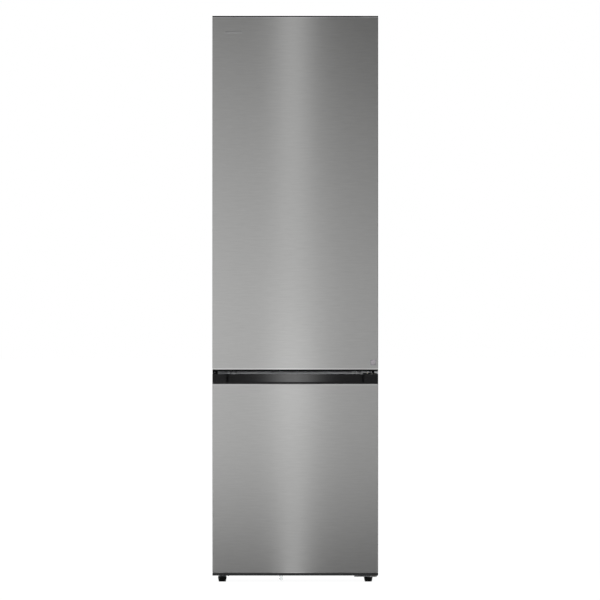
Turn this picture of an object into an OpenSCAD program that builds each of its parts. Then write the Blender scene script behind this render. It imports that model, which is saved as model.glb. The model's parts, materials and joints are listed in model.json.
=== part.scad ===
// Free-standing fridge freezer: a tall fridge compartment above a freezer with three drawers.
// Millimetres. +X is to the right of someone facing the doors, +Y to the back, +Z up.
// The origin is on the floor, in the middle of the overall width and depth.

/* [Overall] */
// Width of the cabinet and doors
width = 595; // [560:5:640]
// Height from the floor to the top of the fridge door
height = 2030; // [2000:5:2050]
// Depth from the door fronts to the wall spacers
depth = 663; // [640:1:690]

/* [Doors] */
// Thickness of a door, without its gasket
door_t = 62; // [60:1:68]
// Room between a closed door and the cabinet, filled by the gasket
gasket_gap = 12; // [11:0.5:14]
// Floor to the underside of the freezer door
base_clear = 24; // [23:0.5:28]
// Floor to the top of the freezer door
freezer_top = 745.5; // [740:0.5:752]
// Open gap between the two doors
door_gap = 15.5; // [15:0.5:18]
// Sheet steel of the door fronts
skin_t = 1; // [0.8:0.1:1.2]
// Radius of the upright front edges
skin_r = 4; // [2:0.5:6]
// Width of the fold at the back of each front sheet
skin_fold = 13; // [10:1:16]
// Height of the dark edge above the fridge door's steel
top_edge = 4; // [3.6:0.1:5]
// Height of the dark edge below the freezer door's steel
bottom_edge = 7.5; // [5:0.5:9]
// Height of an end cap inside the door
cap_h = 24; // [22:1:30]
// Gap between the end caps and the steel
cap_room = 0.3; // [0.1:0.1:0.5]
// Width of the fold along the top and bottom of each front sheet
hem_d = 8; // [6:1:10]
// Wall of the end caps and of the grip rail
cap_t = 3; // [2:0.5:4]

/* [Grip] */
// Height of the dark grip rail above the freezer door's steel
grip_h = 33.5; // [30:0.5:38]
// Depth of the finger recess behind the steel front
grip_depth = 22; // [18:1:26]
// How far the recess reaches down behind the steel lip
grip_undercut = 14; // [10:1:18]
// Length of the solid block at each end of the rail
grip_end = 49.5; // [46:0.5:60]
// Slope of the recess ends, from front to back
grip_draft = 9; // [4:1:14]

/* [Door panels] */
// Compartment's side to the raised part of the inner door panels
dyke_side = 12.5; // [11.5:0.5:22]
// Width of the raised frame on the fridge door's panel
dyke_w = 20; // [16:1:24]
// Height of that frame above its panel
dyke_h = 35; // [28:1:36]
// Corner radius of that frame
dyke_r = 24; // [21:1:30]
// Compartment edge to the raised part
dyke_margin = 20; // [16:1:26]
// Height of the raised part of the freezer door's panel
panel_rise = 18; // [12:1:20]
// Corner radius of that raised part
panel_r = 20; // [12:1:26]
// Height of the lugs under the bins
lug_h = 8; // [6:1:12]
// Raised frame's lower bar to the first lugs
lug_room = 2; // [1:0.5:4]
// Length of the lugs under the bins
lug_w = 7; // [5:1:10]
// Raised frame's face to the lugs' ends
lug_setback = 6; // [4:1:10]

/* [Gaskets] */
// Thickness of a gasket's foot
gasket_foot = 4; // [3:0.5:5]
// Width of a gasket's foot
gasket_w = 18; // [16:0.5:20]
// Door edge to the gasket, at the sides
gasket_inset = 17; // [17:0.5:18]
// Running gap between a gasket and the cabinet
gasket_clear = 0.3; // [0.3:0.1:0.6]
// Gasket foot's edge to its bulb
bulb_inset = 3; // [2:0.5:4]
// Corner radius of a gasket
gasket_r = 8; // [6:1:12]

/* [Hinges] */
// Hinge axis to the side of the cabinet
hinge_inset = 16.5; // [15:0.5:17]
// Hinge axis to the door front
hinge_setback = 31; // [30:0.5:32]
// Radius of the hinge pins
pin_r = 4; // [3:0.5:5]
// Gap round a pin in its bush
pin_clear = 0.2; // [0.1:0.05:0.3]
// Length of a pin inside its door
pin_l = 16; // [12:1:18]
// Wall of the hinge bushes
bush_t = 2.8; // [2:0.2:3]
// How far a bush's collar stands out round it
collar_out = 2; // [1:0.5:3]
// Sheet thickness of the top hinge
top_plate_t = 2.5; // [2:0.1:2.8]
// Length of the top hinge's foot on the cabinet
top_hinge_l = 84; // [76:2:100]
// Depth of the top hinge's foot
top_foot_d = 40; // [34:1:50]
// Cabinet front to the top hinge's riser
foot_gap = 6; // [5:0.5:10]
// Radius of the pocket in the door cap round the top hinge cover
pocket_r = 56; // [50:1:58]
// Running gap between the cover and that pocket
pocket_gap = 2; // [1.5:0.25:3]
// Wall of the hinge cover
cover_t = 2; // [1.5:0.5:3]
// Sheet thickness of the middle and bottom hinges
plate_t = 3; // [2.5:0.5:3]
// Radius of the rounded nose of a hinge plate
nose_r = 12; // [10:1:13]
// Length of the middle hinge along the rail
middle_hinge_l = 95; // [85:5:110]
// End of the middle hinge's flange to its web
mid_web_start = 40; // [36:1:50]
// Height of the middle hinge's upright flange
middle_flange_h = 14; // [13:1:15]
// Depth of the middle hinge's web
mid_web = 22; // [16:1:30]
// Underside of the freezer door to the underside of the bottom hinge
bottom_hinge_drop = 6.5; // [6:0.1:7]
// Height of the upright flange of the bottom hinge
low_flange_h = 22; // [18:1:22]
// Length of the bottom hinge along the front
bottom_hinge_l = 86; // [80:2:95]
// Radius of a hinge screw's shank
shank_r = 2.4; // [2:0.1:2.8]
// Height of a hinge screw's head
head_h = 2.5; // [1.5:0.25:3]
// Radius of a hinge screw's head
screw_r = 4.5; // [3.5:0.5:5]
// End of the top hinge's foot to its first screw
top_screw_end = 10; // [8:1:14]
// Top hinge screw to the next one
top_screw_pitch = 26; // [20:1:28]
// End of the middle hinge's flange to its first screw
mid_screw_end = 10; // [8:1:12]
// Middle hinge screw to the next one
mid_screw_pitch = 18; // [14:1:20]
// End of a foot bracket's flange to its screw
low_screw_end = 9; // [7:1:11]
// Underside of the base to a foot bracket's screws
low_screw_rise = 7; // [6:0.5:8]

/* [Cabinet] */
// Insulated side wall, with its skins
side_wall = 60; // [56:1:62]
// Insulated top wall
top_wall = 60; // [56:1:66]
// Insulated back wall
back_wall = 58; // [50:1:64]
// Insulated floor under the freezer
floor_wall = 52; // [48:1:56]
// Height of the wall between the two compartments
mullion_h = 76; // [72:1:80]
// Cabinet top to the top of the fridge door
top_step = 20; // [18:0.5:24]
// Painted sheet of the outer shell
shell_t = 1; // [0.8:0.1:1.2]
// Front fold of the outer shell
shell_fold = 20; // [18:1:22]
// Wall of the plastic liners
liner_t = 2; // [1.5:0.25:2.5]
// Corner radius of the compartments
liner_r = 22; // [16:1:28]
// Height of the mullion's front rail
rail_h = 38; // [34:1:42]
// Thickness of the mullion's front rail
rail_t = 10; // [8:1:14]
// Thickness of the plastic top panel
top_panel_t = 2.5; // [2:0.5:4]
// Depth of the wall spacers on the back
spacer_t = 15; // [10:1:20]
// Middle of the cabinet to a spacer
spacer_x = 190; // [150:5:220]
// Width of a spacer
spacer_w = 44; // [36:2:60]
// Height of a spacer
spacer_h = 60; // [40:5:80]
// Cabinet top to the underside of the spacers
spacer_drop = 250; // [150:10:500]
// Wall of a spacer at its sides
spacer_side_t = 4; // [3:0.5:6]
// Wall of a spacer at its front and back
spacer_face_t = 3; // [2:0.5:4]

/* [Base] */
// Height of the machine compartment
machine_h = 235; // [232:1:245]
// Depth of the machine compartment
machine_d = 205; // [200:1:212]
// Insulation between the machine compartment and the freezer
hump_wall = 32; // [28:1:34]
// Height of the tray that carries the compressor
tray_z = 42; // [40:1:48]
// Sheet of the base pan
pan_t = 1.5; // [1.2:0.1:2]
// Front upstand of the base pan
pan_lip = 36; // [30:1:42]
// Side of the cabinet to a foot's stud
foot_inset = 35.5; // [31.5:0.5:41]
// Foot stud to the inner end of the left bracket
bracket_in = 26; // [22:1:34]
// Foot stud to the outer end of the left bracket
bracket_out = 19; // [16:1:22]
// Foot stud to the front of the cabinet
foot_setback = 34; // [30:1:40]
// Largest radius of a foot
foot_r = 15.8; // [14:0.2:17]
// Radius of a foot's sole
foot_sole_r = 12.5; // [11:0.5:13]
// Gap between a foot's body and the plate above it
foot_clear = 0.5; // [0.3:0.1:1]
// Height of a foot's upper edge bevel
foot_bevel = 2; // [1:0.5:3]
// Radius of a foot's stud
stud_r = 5; // [4:0.5:6]
// Room round a stud in the base pan and the foam
stud_room = 3; // [2:0.5:4]
// Radius of the threaded collar round a stud
collar_r = 9; // [8:0.5:10]
// How far a foot screws out
foot_travel = 12; // [8:1:14]
// Stud left in its collar when a foot is fully out
stud_spare = 3; // [2:0.5:4]
// Room above a stud in its well
well_room = 9; // [4:1:12]
// Radius of a rear roller
roller_r = 15; // [13:0.5:16]
// Width of a rear roller
roller_w = 18; // [14:1:22]
// Roller axle to the back panel
roller_setback = 42; // [36:1:50]
// Radius of a roller's axle
axle_r = 3; // [2.5:0.5:4]
// Gap between a roller and the front of its fork
fork_room = 2; // [1:0.5:4]
// Floor to the lower edge of a roller's fork
fork_z = 7; // [5:1:9]
// Front of the cabinet to the drain tube
drain_setback = 30; // [20:1:40]
// Middle of the drain tube across the width
drain_x = -51; // [-120:1:120]
// Radius of the drain tube
drain_r = 6; // [5:0.5:8]
// Wall of the drain tube
drain_t = 1.5; // [1:0.25:2]
// Floor to the end of the drain tube
drain_z = 5; // [3:1:12]

/* [Machine compartment] */
// Middle of the compressor across the width
comp_x = -90; // [-120:5:-60]
// Radius of the compressor
comp_r = 68; // [60:1:72]
// Height of the compressor
comp_h = 130; // [115:1:136]
// Radius of the compressor's shoulders
comp_shoulder = 37.4; // [30:0.2:44]
// Height of the welded seam round the compressor
seam_h = 5; // [4:0.5:8]
// How far that seam stands out
seam_out = 4; // [3:0.5:6]
// Middle of the compressor to each foot strap
strap_y = 50; // [44:1:54]
// Width of a foot strap
strap_w = 28; // [24:1:32]
// Compressor's side to a rubber mount
mount_out = 10; // [8:1:14]
// Largest radius of a rubber mount
mount_r = 11; // [9:0.5:12]
// Radius of the waist of a rubber mount
mount_waist_r = 8; // [6.5:0.5:8.5]
// Radius of the bore of a rubber mount
mount_bore_r = 3; // [2:0.5:4]
// Height of the rubber mounts
mount_h = 10; // [8:1:14]
// Compressor to the relay cover
relay_gap = 6; // [5:1:10]
// Width of the relay cover
relay_w = 34; // [28:1:40]
// Height of the relay cover
relay_h = 56; // [46:1:64]
// Depth of the relay cover
relay_d = 60; // [50:2:70]
// Foot of the compressor to the relay cover
relay_rise = 22; // [16:1:24]
// Depth of the terminal stub
stub_d = 24; // [18:2:30]
// Height of the terminal stub
stub_h = 16; // [12:1:18]
// Width of the evaporation tray
tray_w = 230; // [180:5:260]
// Depth of the evaporation tray
tray_d = 150; // [120:5:160]
// Height of the evaporation tray
tray_h = 34; // [24:1:40]
// Wall of the evaporation tray
tray_t = 2; // [1.5:0.25:3]
// Corner radius of the evaporation tray
tray_r = 10; // [6:1:16]
// Radius of the refrigerant pipes
pipe_r = 3.2; // [2.5:0.1:4]
// Middle of the compressor to a pipe, from front to back
pipe_side = 24; // [16:1:30]
// Tray's edge to the first rising pipe
pipe_gap = 8; // [7:1:14]
// Rising pipe to the next one
pipe_pitch = 28; // [22:1:36]
// Bend radius of the refrigerant pipes
bend_r = 18; // [12:1:26]
// Radius of the filter drier
drier_r = 9; // [7:0.5:11]
// Length of the filter drier
drier_l = 80; // [60:5:90]
// Length of the filter drier's tapered ends
drier_taper = 10; // [6:1:14]
// Foot of the compressor to the suction pipe
suction_rise = 76; // [66:1:80]
// Foot of the compressor to the discharge pipe
discharge_rise = 44; // [36:1:52]
// Middle of the cord gland across the width
gland_x = 150; // [80:5:220]
// Radius of the cord gland
gland_r = 7; // [6:0.5:7.5]
// Length of the cord gland
gland_l = 12; // [9:1:16]
// Radius of the cord gland's bore
gland_bore_r = 3.6; // [3:0.1:4.5]

/* [Fridge compartment] */
// Radius of the drawers' lower edges
drawer_r = 10; // [8:1:14]
// Gap between a drawer and the compartment's side
drawer_side = 15.5; // [14.5:0.5:24]
// Radius of a drawer's upright corners
drawer_corner = 6; // [4:0.5:8]
// Door bin to the crisper's front
crisper_clear = 14; // [13:1:18]
// Back of the crisper drawer to the air duct
crisper_back = 14; // [10:1:40]
// Crisper drawer to its glass lid
lid_clear = 8; // [7:1:12]
// Height of the crisper drawer
crisper_h = 186; // [170:2:195]
// Space above the top shelf
shelf_head = 234.75; // [225:0.25:245]
// Bottle rack to the lowest shelf
rack_room = 132; // [126:1:140]
// Thickness of the shelf glass
glass_t = 4; // [3:0.5:5]
// How far a shelf's front trim reaches below the glass
trim_drop = 6; // [5:0.5:8]
// How far a shelf's front trim stands above the glass
trim_rise = 4; // [2:0.5:6]
// Wall of a shelf's front trim before the glass
trim_wall = 13; // [8:1:14]
// Corner radius of a shelf's front trim
trim_r = 3; // [2:0.5:4]
// Bottle rack above the compartment floor
rack_rise = 368; // [360:1:374]
// Door bin to the shelf fronts
bin_clear = 11.5; // [9:0.5:14]
// Height of a shelf ledge on the liner
ledge_h = 6; // [4:1:6]
// Depth of a shelf's front trim
trim_d = 16; // [12:1:22]
// Radius of a rod of the bottle rack
wire_r = 2.5; // [2:0.5:3]
// Rod of the bottle rack to the next one
wire_pitch = 36; // [30:1:37]
// Ledge's front end to the rack's front bar
bar_setback = 6; // [5:1:12]
// Rack's rear bar to the air duct
bar_clear = 10; // [8:1:16]
// Width of the cold-air duct
duct_w = 300; // [240:10:340]
// Depth of the cold-air duct
duct_d = 40; // [30:1:50]
// Bottle rack to the lower end of the cold-air duct
duct_rise = 20; // [14:1:30]
// Upper end of the cold-air duct to the roof
duct_head = 12; // [8:1:20]
// Wall of the duct and of the evaporator's cover
duct_t = 3; // [2:0.5:4]
// Corner radius of the cold-air duct
duct_r = 14; // [8:1:18]
// Length of an outlet slot
outlet_l = 68; // [50:2:80]
// Height of an outlet slot
outlet_h = 8; // [6:1:10]
// Middle of the duct to the middle of an outlet slot
outlet_x = 60; // [45:1:66]
// Shelf to the outlet slots above it
outlet_rise = 90; // [60:5:110]
// Width of the control panel
panel_w = 220; // [160:10:260]
// Depth of the control panel
panel_d = 60; // [50:2:70]
// Height of the control panel
panel_h = 22; // [20:1:26]
// Wall of the control panel's housing
panel_t = 3; // [2:0.5:4]
// Set key to the upper and lower edge of its panel
key_edge = 5; // [4:0.5:7]
// Door panel frame to the control panel
panel_clear = 10; // [8:1:14]
// Width of the set key
key_w = 24; // [16:1:36]
// How far the set key stands out
key_out = 1.5; // [1.2:0.1:2]
// Width of the lamp's lens
lamp_w = 110; // [80:5:160]
// Depth of the lamp's lens
lamp_d = 70; // [50:5:90]
// Height of the lamp's lens
lamp_h = 9; // [7:1:14]
// Control panel to the lamp's lens
lamp_gap = 12; // [8:1:20]
// Wall of the lamp's lens
lamp_t = 2; // [1.5:0.25:3]
// Corner radius of the lamp's lens
lamp_r = 10; // [6:1:16]
// Width of a shelf ledge on the liner
ledge_w = 8; // [6:1:10]
// Gap between a bin and the raised frame beside it
bin_side = 0.5; // [0.3:0.1:1]
// Space above the bottle bin, up to the next bin
bottle_room = 192; // [170:2:200]
// Raised frame's top to the floor of the top bin
bin_head = 288.75; // [270:0.25:300]
// Depth of a door bin
bin_d = 108; // [96:1:108]
// Height of a small door bin
bin_h = 74; // [60:1:90]
// Height of the bottle bin
bottle_bin_h = 108; // [90:1:125]
// Wall of the bins and drawers
bin_t = 2.5; // [2:0.25:3]
// Radius of a bin's front corners
bin_r = 10; // [8:1:16]
// Depth of a drawer's front, with its finger lip
front_lip = 12; // [9:1:14]
// Height of a drawer's finger lip
lip_h = 26; // [20:1:32]
// Corner radius of a drawer's finger lip
lip_r = 3; // [2:0.5:5]
// Drawer's underside to the edge of its front
front_rise = 2; // [1:0.5:4]

/* [Freezer compartment] */
// Height of the bottom drawer
drawer_low_h = 212; // [200:1:216]
// Height of the two upper drawers
drawer_h = 190; // [175:1:196]
// Space above each drawer
drawer_head = 10; // [8:1:12]
// Back of the two upper drawers to the evaporator's cover
drawer_back = 9; // [5:1:60]
// Back of the bottom drawer to the hump
low_drawer_back = 8; // [5:1:14]
// Depth of the evaporator's cover
evaporator_d = 75; // [65:1:78]
// Freezer door panel to the drawer fronts
drawer_setback = 26; // [22:1:32]
// Hump and roof to the evaporator's cover
cover_clear = 3; // [2:0.5:5]
// Corner radius of the evaporator's cover
freezer_cover_r = 12; // [8:1:16]
// Radius of the fan opening in that cover
fan_r = 30; // [24:1:36]
// Freezer shelf to the middle of the fan opening
fan_rise = 90; // [80:1:110]
// Length of a slot in that cover
slot_l = 56; // [44:2:66]
// Height of a slot in that cover
slot_h = 7; // [5:1:9]
// Slot to the next one beside it
slot_pitch = 80; // [70:2:84]
// Freezer shelf to the slots above it
slot_rise = 140; // [130:2:150]

/* [Hidden] */
$fn = 48;

// Main planes
half_w = width / 2;
front_y = -depth / 2;
back_y = depth / 2;
door_back_y = front_y + door_t;
cab_front_y = door_back_y + gasket_gap;
cab_back_y = back_y - spacer_t;
spacer_z = height - top_step - spacer_drop;
cab_top_z = height - top_step;
cab_base_z = base_clear + 1;
in_half = half_w - shell_t;
fold_x = half_w - shell_fold;
fridge_base_z = freezer_top + door_gap;
fridge_skin_top = height - top_edge;
freezer_skin_base = base_clear + bottom_edge;
freezer_skin_top = freezer_top - grip_h;
liner_face_y = door_back_y - liner_t;
fit = 0.3;
cut = 1;

// Compartments
cavity_x = half_w - side_wall;
dyke_x = cavity_x - dyke_side;
drawer_x = cavity_x - drawer_side;
cavity_back_y = cab_back_y - back_wall;
gap_mid_z = freezer_top + door_gap / 2;
fridge_floor_z = gap_mid_z + mullion_h / 2;
fridge_roof_z = cab_top_z - top_wall;
freezer_floor_z = cab_base_z + floor_wall;
freezer_roof_z = gap_mid_z - mullion_h / 2;
rail_z = [gap_mid_z - rail_h / 2, gap_mid_z + rail_h / 2];
flange_top_z = cab_top_z - shell_fold;
pan_lip_z = cab_base_z + pan_lip;
machine_y = cab_back_y - machine_d;
machine_top_z = cab_base_z + machine_h;
hump_y = machine_y - hump_wall;
hump_z = machine_top_z + hump_wall;

// Hinges
hinge_x = half_w - hinge_inset;
hinge_y = front_y + hinge_setback;
cover_r = pocket_r - pocket_gap;
bush_r = pin_r + pin_clear + bush_t;
boss_r = bush_r + cap_t;
bush_l = pin_l + 2;
top_plate_z = fridge_skin_top + fit;
mid_plate_z = gap_mid_z - plate_t / 2;
low_plate_z = base_clear - bottom_hinge_drop;
foot_x = half_w - foot_inset;
foot_y = cab_front_y + foot_setback;
flange_x0 = half_w - bottom_hinge_l;
left_x0 = foot_x - bracket_in;
left_x1 = foot_x + bracket_out;
stud_top_z = cab_base_z + foot_travel + stud_spare;
foot_h = low_plate_z - foot_clear;
roller_y = cab_back_y - roller_setback;
comp_y = machine_y + machine_d / 2;
comp_z = tray_z + mount_h;
comp_top_z = comp_z + comp_h;
mount_x = comp_r + mount_out;
gland_z = tray_z - pan_t - gland_r - cut;
drain_y = cab_front_y + drain_setback;
riser_x = comp_x + tray_w / 2 + pipe_gap;
mid_x0 = half_w - middle_hinge_l;
wide_x = hinge_x + nose_r;
narrow_x = hinge_x - nose_r;

// Doors
gasket_x = half_w - gasket_inset;
fridge_gasket_z = [rail_z[1], cab_top_z - gasket_inset];
freezer_gasket_z = [base_clear + gasket_inset, rail_z[0]];
dyke_z = [fridge_floor_z + dyke_margin, fridge_roof_z - dyke_margin];
bin_back_y = door_back_y + bin_d;
panel_z = [freezer_floor_z + dyke_margin, freezer_roof_z - dyke_margin];

// Fridge inside
shelf_front_y = bin_back_y + bin_clear;
crisper_front_y = bin_back_y + crisper_clear;
panel_y = door_back_y + dyke_h + panel_clear;
bin_x = dyke_x - dyke_w - bin_side;
bottle_bin_z = dyke_z[0] + dyke_w + lug_h + lug_room;
low_bin_z = bottle_bin_z + bottle_bin_h + bottle_room;
bin_pitch = (dyke_z[1] - bin_head - low_bin_z) / 2;
bin_z = [for (i = [0:2]) low_bin_z + i * bin_pitch];
duct_y = cavity_back_y - duct_d;
rack_z = fridge_floor_z + rack_rise;
shelf_pitch = (fridge_roof_z - shelf_head - rack_z - rack_room) / 2;
shelf_z = [for (i = [0:2]) fridge_roof_z - shelf_head - i * shelf_pitch];
lid_z = fridge_floor_z + fit + crisper_h + lid_clear;

// Freezer inside
drawer_front_y = door_back_y + panel_rise + drawer_setback;
cover_y = cavity_back_y - evaporator_d;
low_drawer_z = freezer_floor_z + fit;
freezer_shelf_z = [for (i = [0:1]) low_drawer_z + drawer_low_h + drawer_head
  + i * (glass_t + drawer_h + drawer_head + fit)];

// A box between two corners, given as ranges along each axis.
module span(x, y, z)
  translate([x[0], y[0], z[0]]) cube([x[1] - x[0], y[1] - y[0], z[1] - z[0]]);

// A rectangle between two corners with round corners.
module round_rect(x, y, r) {
  translate([x[0] + r, y[0]]) square([x[1] - x[0] - 2 * r, y[1] - y[0]]);
  translate([x[0], y[0] + r]) square([x[1] - x[0], y[1] - y[0] - 2 * r]);
  for (px = [x[0] + r, x[1] - r], py = [y[0] + r, y[1] - r]) translate([px, py]) circle(r);
}

// A round-cornered box whose corners run from front to back.
module deep_box(x, y, z, r)
  translate([0, y[1], 0]) rotate([90, 0, 0]) linear_extrude(y[1] - y[0]) round_rect(x, z, r);

// A round-cornered box whose corners stand upright.
module tall_box(x, y, z, r)
  translate([0, 0, z[0]]) linear_extrude(z[1] - z[0]) round_rect(x, y, r);

// A flat ring facing the front, between an outer and an inner outline.
module deep_ring(x, z, y, w, r)
  difference() {
    deep_box([-x, x], y, z, r);
    deep_box([w - x, x - w], [y[0] - cut, y[1] + cut], [z[0] + w, z[1] - w], max(r - w, 2));
  }

// An upright rod, and a hole for one.
module rod(x, y, z, r) translate([x, y, z[0]]) cylinder(h = z[1] - z[0], r = r);

// Sheet shell of the cabinet, one side: panel, front fold and back fold.
module side_panel() {
  z = [cab_base_z, cab_top_z];
  span([in_half, half_w], [cab_front_y, cab_back_y], z);
  span([fold_x, half_w], [cab_front_y, cab_front_y + shell_t], z);
}

module left_side_panel() color("gainsboro") mirror([1, 0, 0]) side_panel();
module right_side_panel() color("gainsboro") side_panel();

module top_panel() color("gainsboro") {
  span([-in_half, in_half], [cab_front_y + shell_t, cab_back_y - shell_t],
    [cab_top_z - top_panel_t, cab_top_z]);
  span([-fold_x, fold_x], [cab_front_y, cab_front_y + shell_t], [flange_top_z, cab_top_z]);
  span([-fold_x, fold_x], [cab_front_y, cab_front_y + shell_t + cut], [cab_top_z - top_panel_t, cab_top_z]);
}

// Rear sheet with two spacers that keep it off the wall.
module back_panel() color("silver") {
  span([-in_half, in_half], [cab_back_y - shell_t, cab_back_y], [machine_top_z, cab_top_z]);
  for (s = [-1, 1]) {
    x = [s * spacer_x - spacer_w / 2, s * spacer_x + spacer_w / 2];
    difference() {
      tall_box(x, [cab_back_y - cut, back_y], [spacer_z, spacer_z + spacer_h], spacer_side_t);
      span([x[0] + spacer_side_t, x[1] - spacer_side_t],
        [cab_back_y + spacer_face_t, back_y - spacer_face_t],
        [spacer_z - cut, spacer_z + spacer_h + cut]);
    }
  }
}

// Bent sheet under the freezer, with the step and roof of the machine compartment and its tray.
module base_pan() color("darkgray") difference() {
  union() {
    span([-fold_x, fold_x], [cab_front_y, cab_front_y + pan_t], [cab_base_z, pan_lip_z]);
    span([-fold_x, fold_x], [cab_front_y, cab_front_y + pan_t + cut], [cab_base_z, cab_base_z + pan_t]);
    span([-in_half, in_half], [cab_front_y + pan_t, machine_y + cut], [cab_base_z, cab_base_z + pan_t]);
    span([-in_half, in_half], [machine_y, machine_y + pan_t], [cab_base_z, machine_top_z]);
    span([-in_half, in_half], [machine_y, cab_back_y], [machine_top_z - pan_t, machine_top_z]);
    span([-in_half, in_half], [machine_y, cab_back_y], [tray_z - pan_t, tray_z]);
  }
  for (s = [-1, 1])
    rod(s * foot_x, foot_y, [cab_base_z - cut, cab_base_z + pan_t + cut], stud_r + stud_room);
}

module cabinet_foam() color("wheat") difference() {
  union() {
    span([-in_half, in_half], [cab_front_y + liner_t, machine_y],
      [cab_base_z + pan_t, cab_top_z - top_panel_t]);
    span([-in_half, in_half], [machine_y - cut, cab_back_y - shell_t],
      [machine_top_z, cab_top_z - top_panel_t]);
  }
  fridge_cavity(liner_t);
  freezer_cavity(liner_t);
  span([-fold_x, fold_x], [cab_front_y, cab_front_y + rail_t], rail_z);
  for (s = [-1, 1])
    rod(s * foot_x, foot_y, [cab_base_z, stud_top_z + well_room], stud_r + stud_room);
}

// Space inside the fridge liner, grown by a wall.
module fridge_cavity(wall)
  deep_box([-cavity_x - wall, cavity_x + wall], [cab_front_y - cut, cavity_back_y + wall],
    [fridge_floor_z - wall, fridge_roof_z + wall], liner_r);

// Space inside the freezer liner, grown by a wall, without the hump over the machine compartment.
module freezer_cavity(wall) difference() {
  deep_box([-cavity_x - wall, cavity_x + wall], [cab_front_y - cut, cavity_back_y + wall],
    [freezer_floor_z - wall, freezer_roof_z + wall], liner_r);
  span([-half_w, half_w], [hump_y + wall, back_y], [0, hump_z - wall]);
}

// Ledges on both side walls that carry a shelf.
module ledges(z, y)
  for (s = [-1, 1])
    span(s > 0 ? [cavity_x - ledge_w, cavity_x + cut] : [-cavity_x - cut, ledge_w - cavity_x], y,
      [z - ledge_h, z]);

module fridge_liner() color("white") {
  difference() {
    union() {
      fridge_cavity(liner_t);
      span([-fold_x, fold_x], [cab_front_y, cab_front_y + liner_t], [rail_z[1], flange_top_z]);
    }
    fridge_cavity(0);
    span([-half_w, half_w], [cab_front_y - 2 * cut, cab_front_y], [0, height]);
  }
  for (z = shelf_z) ledges(z, [shelf_front_y + ledge_w, duct_y]);
  ledges(rack_z, [shelf_front_y + ledge_w, duct_y]);
  ledges(lid_z, [shelf_front_y + ledge_w, duct_y]);
}

module freezer_liner() color("white") {
  difference() {
    union() {
      freezer_cavity(liner_t);
      span([-fold_x, fold_x], [cab_front_y, cab_front_y + liner_t], [pan_lip_z, rail_z[0]]);
    }
    freezer_cavity(0);
    span([-half_w, half_w], [cab_front_y - 2 * cut, cab_front_y], [0, height]);
  }
  for (z = freezer_shelf_z) ledges(z, [drawer_front_y + ledge_w, cover_y]);
}

module mullion_rail() color("silver") difference() {
  span([-fold_x, fold_x], [cab_front_y, cab_front_y + rail_t], rail_z);
  span([-fold_x + cut, fold_x - cut], [cab_front_y + skin_t, cab_front_y + rail_t + cut],
    [rail_z[0] + skin_t, rail_z[1] - skin_t]);
}

// Screw places, as [x, y] on the flat feet and [x, z] on the upright flanges.
function top_screws() = [for (i = [0:2])
  [wide_x - top_screw_end - i * top_screw_pitch, cab_front_y + foot_gap + top_foot_d / 2]];
function mid_screws() = [for (i = [0, 1]) [mid_x0 + mid_screw_end + i * mid_screw_pitch, gap_mid_z]];
function low_screws(x0, x1) = [for (x = [x0 + low_screw_end, x1 - low_screw_end])
  [x, cab_base_z + low_screw_rise]];

module top_hinge() color("dimgray") difference() {
  y0 = cab_front_y + foot_gap;
  plate_z = [top_plate_z, top_plate_z + top_plate_t];
  union() {
    rod(hinge_x, hinge_y, plate_z, nose_r);
    span([narrow_x, wide_x], [hinge_y, y0 + top_plate_t], plate_z);
    span([narrow_x, wide_x], [y0, y0 + top_plate_t], [cab_top_z, plate_z[1]]);
    span([wide_x - top_hinge_l, wide_x], [y0, y0 + top_foot_d],
      [cab_top_z, cab_top_z + top_plate_t]);
    rod(hinge_x, hinge_y, [top_plate_z - pin_l, plate_z[1]], pin_r);
  }
  for (p = top_screws()) rod(p[0], p[1], [cab_top_z - cut, cab_top_z + top_plate_t + cut], shank_r + fit);
}

// Moulded cover over the top hinge, hollow, with its round nose inside the door cap's pocket.
module top_hinge_cover() color("black") {
  y0 = cab_front_y + foot_gap;
  x = [wide_x - top_hinge_l - cover_t - fit, half_w - fit];
  z_in = top_plate_z + top_plate_t;
  difference() {
    union() {
      intersection() {
        rod(hinge_x, hinge_y, [top_plate_z, height], cover_r);
        span([hinge_x - cover_r, half_w - fit], [front_y + skin_r, y0], [top_plate_z, height]);
      }
      tall_box(x, [y0 - cover_t, y0 + top_foot_d + cover_t + fit], [cab_top_z, height], cover_t);
    }
    span([narrow_x - fit, wide_x + fit], [hinge_y, y0 + cut], [top_plate_z - cut, z_in]);
    rod(hinge_x, hinge_y, [top_plate_z - cut, z_in], nose_r + fit);
    span([x[0] + cover_t, x[1] - cover_t], [y0, y0 + top_foot_d + fit], [cab_top_z - cut, z_in]);
    span([narrow_x - fit, wide_x + fit], [y0 - cover_t - cut, y0 + cut], [cab_top_z + cut, z_in]);
  }
}

module middle_hinge() color("silver") difference() {
  plate_z = [mid_plate_z, mid_plate_z + plate_t];
  union() {
    rod(hinge_x, hinge_y, plate_z, nose_r);
    span([narrow_x, wide_x], [hinge_y, cab_front_y], plate_z);
    span([mid_x0 + mid_web_start, wide_x], [cab_front_y - mid_web, cab_front_y], plate_z);
    span([mid_x0, wide_x], [cab_front_y - plate_t, cab_front_y],
      [gap_mid_z - middle_flange_h / 2, gap_mid_z + middle_flange_h / 2]);
    rod(hinge_x, hinge_y, [freezer_top - pin_l, fridge_base_z + pin_l], pin_r);
  }
  for (p = mid_screws()) translate([p[0], cab_front_y + cut, p[1]])
    rotate([90, 0, 0]) cylinder(h = plate_t + 2 * cut, r = shank_r + fit);
}

// Plate with a collar for a foot's stud and an upright flange on the base pan.
module foot_bracket(x0, x1) {
  z = [low_plate_z, low_plate_z + plate_t];
  span([x0, x1], [cab_front_y - plate_t, foot_y + collar_r + cut], z);
  span([x0, x1], [cab_front_y - plate_t, cab_front_y], [low_plate_z, low_plate_z + low_flange_h]);
  rod(foot_x, foot_y, [low_plate_z, cab_base_z], collar_r);
}

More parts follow.
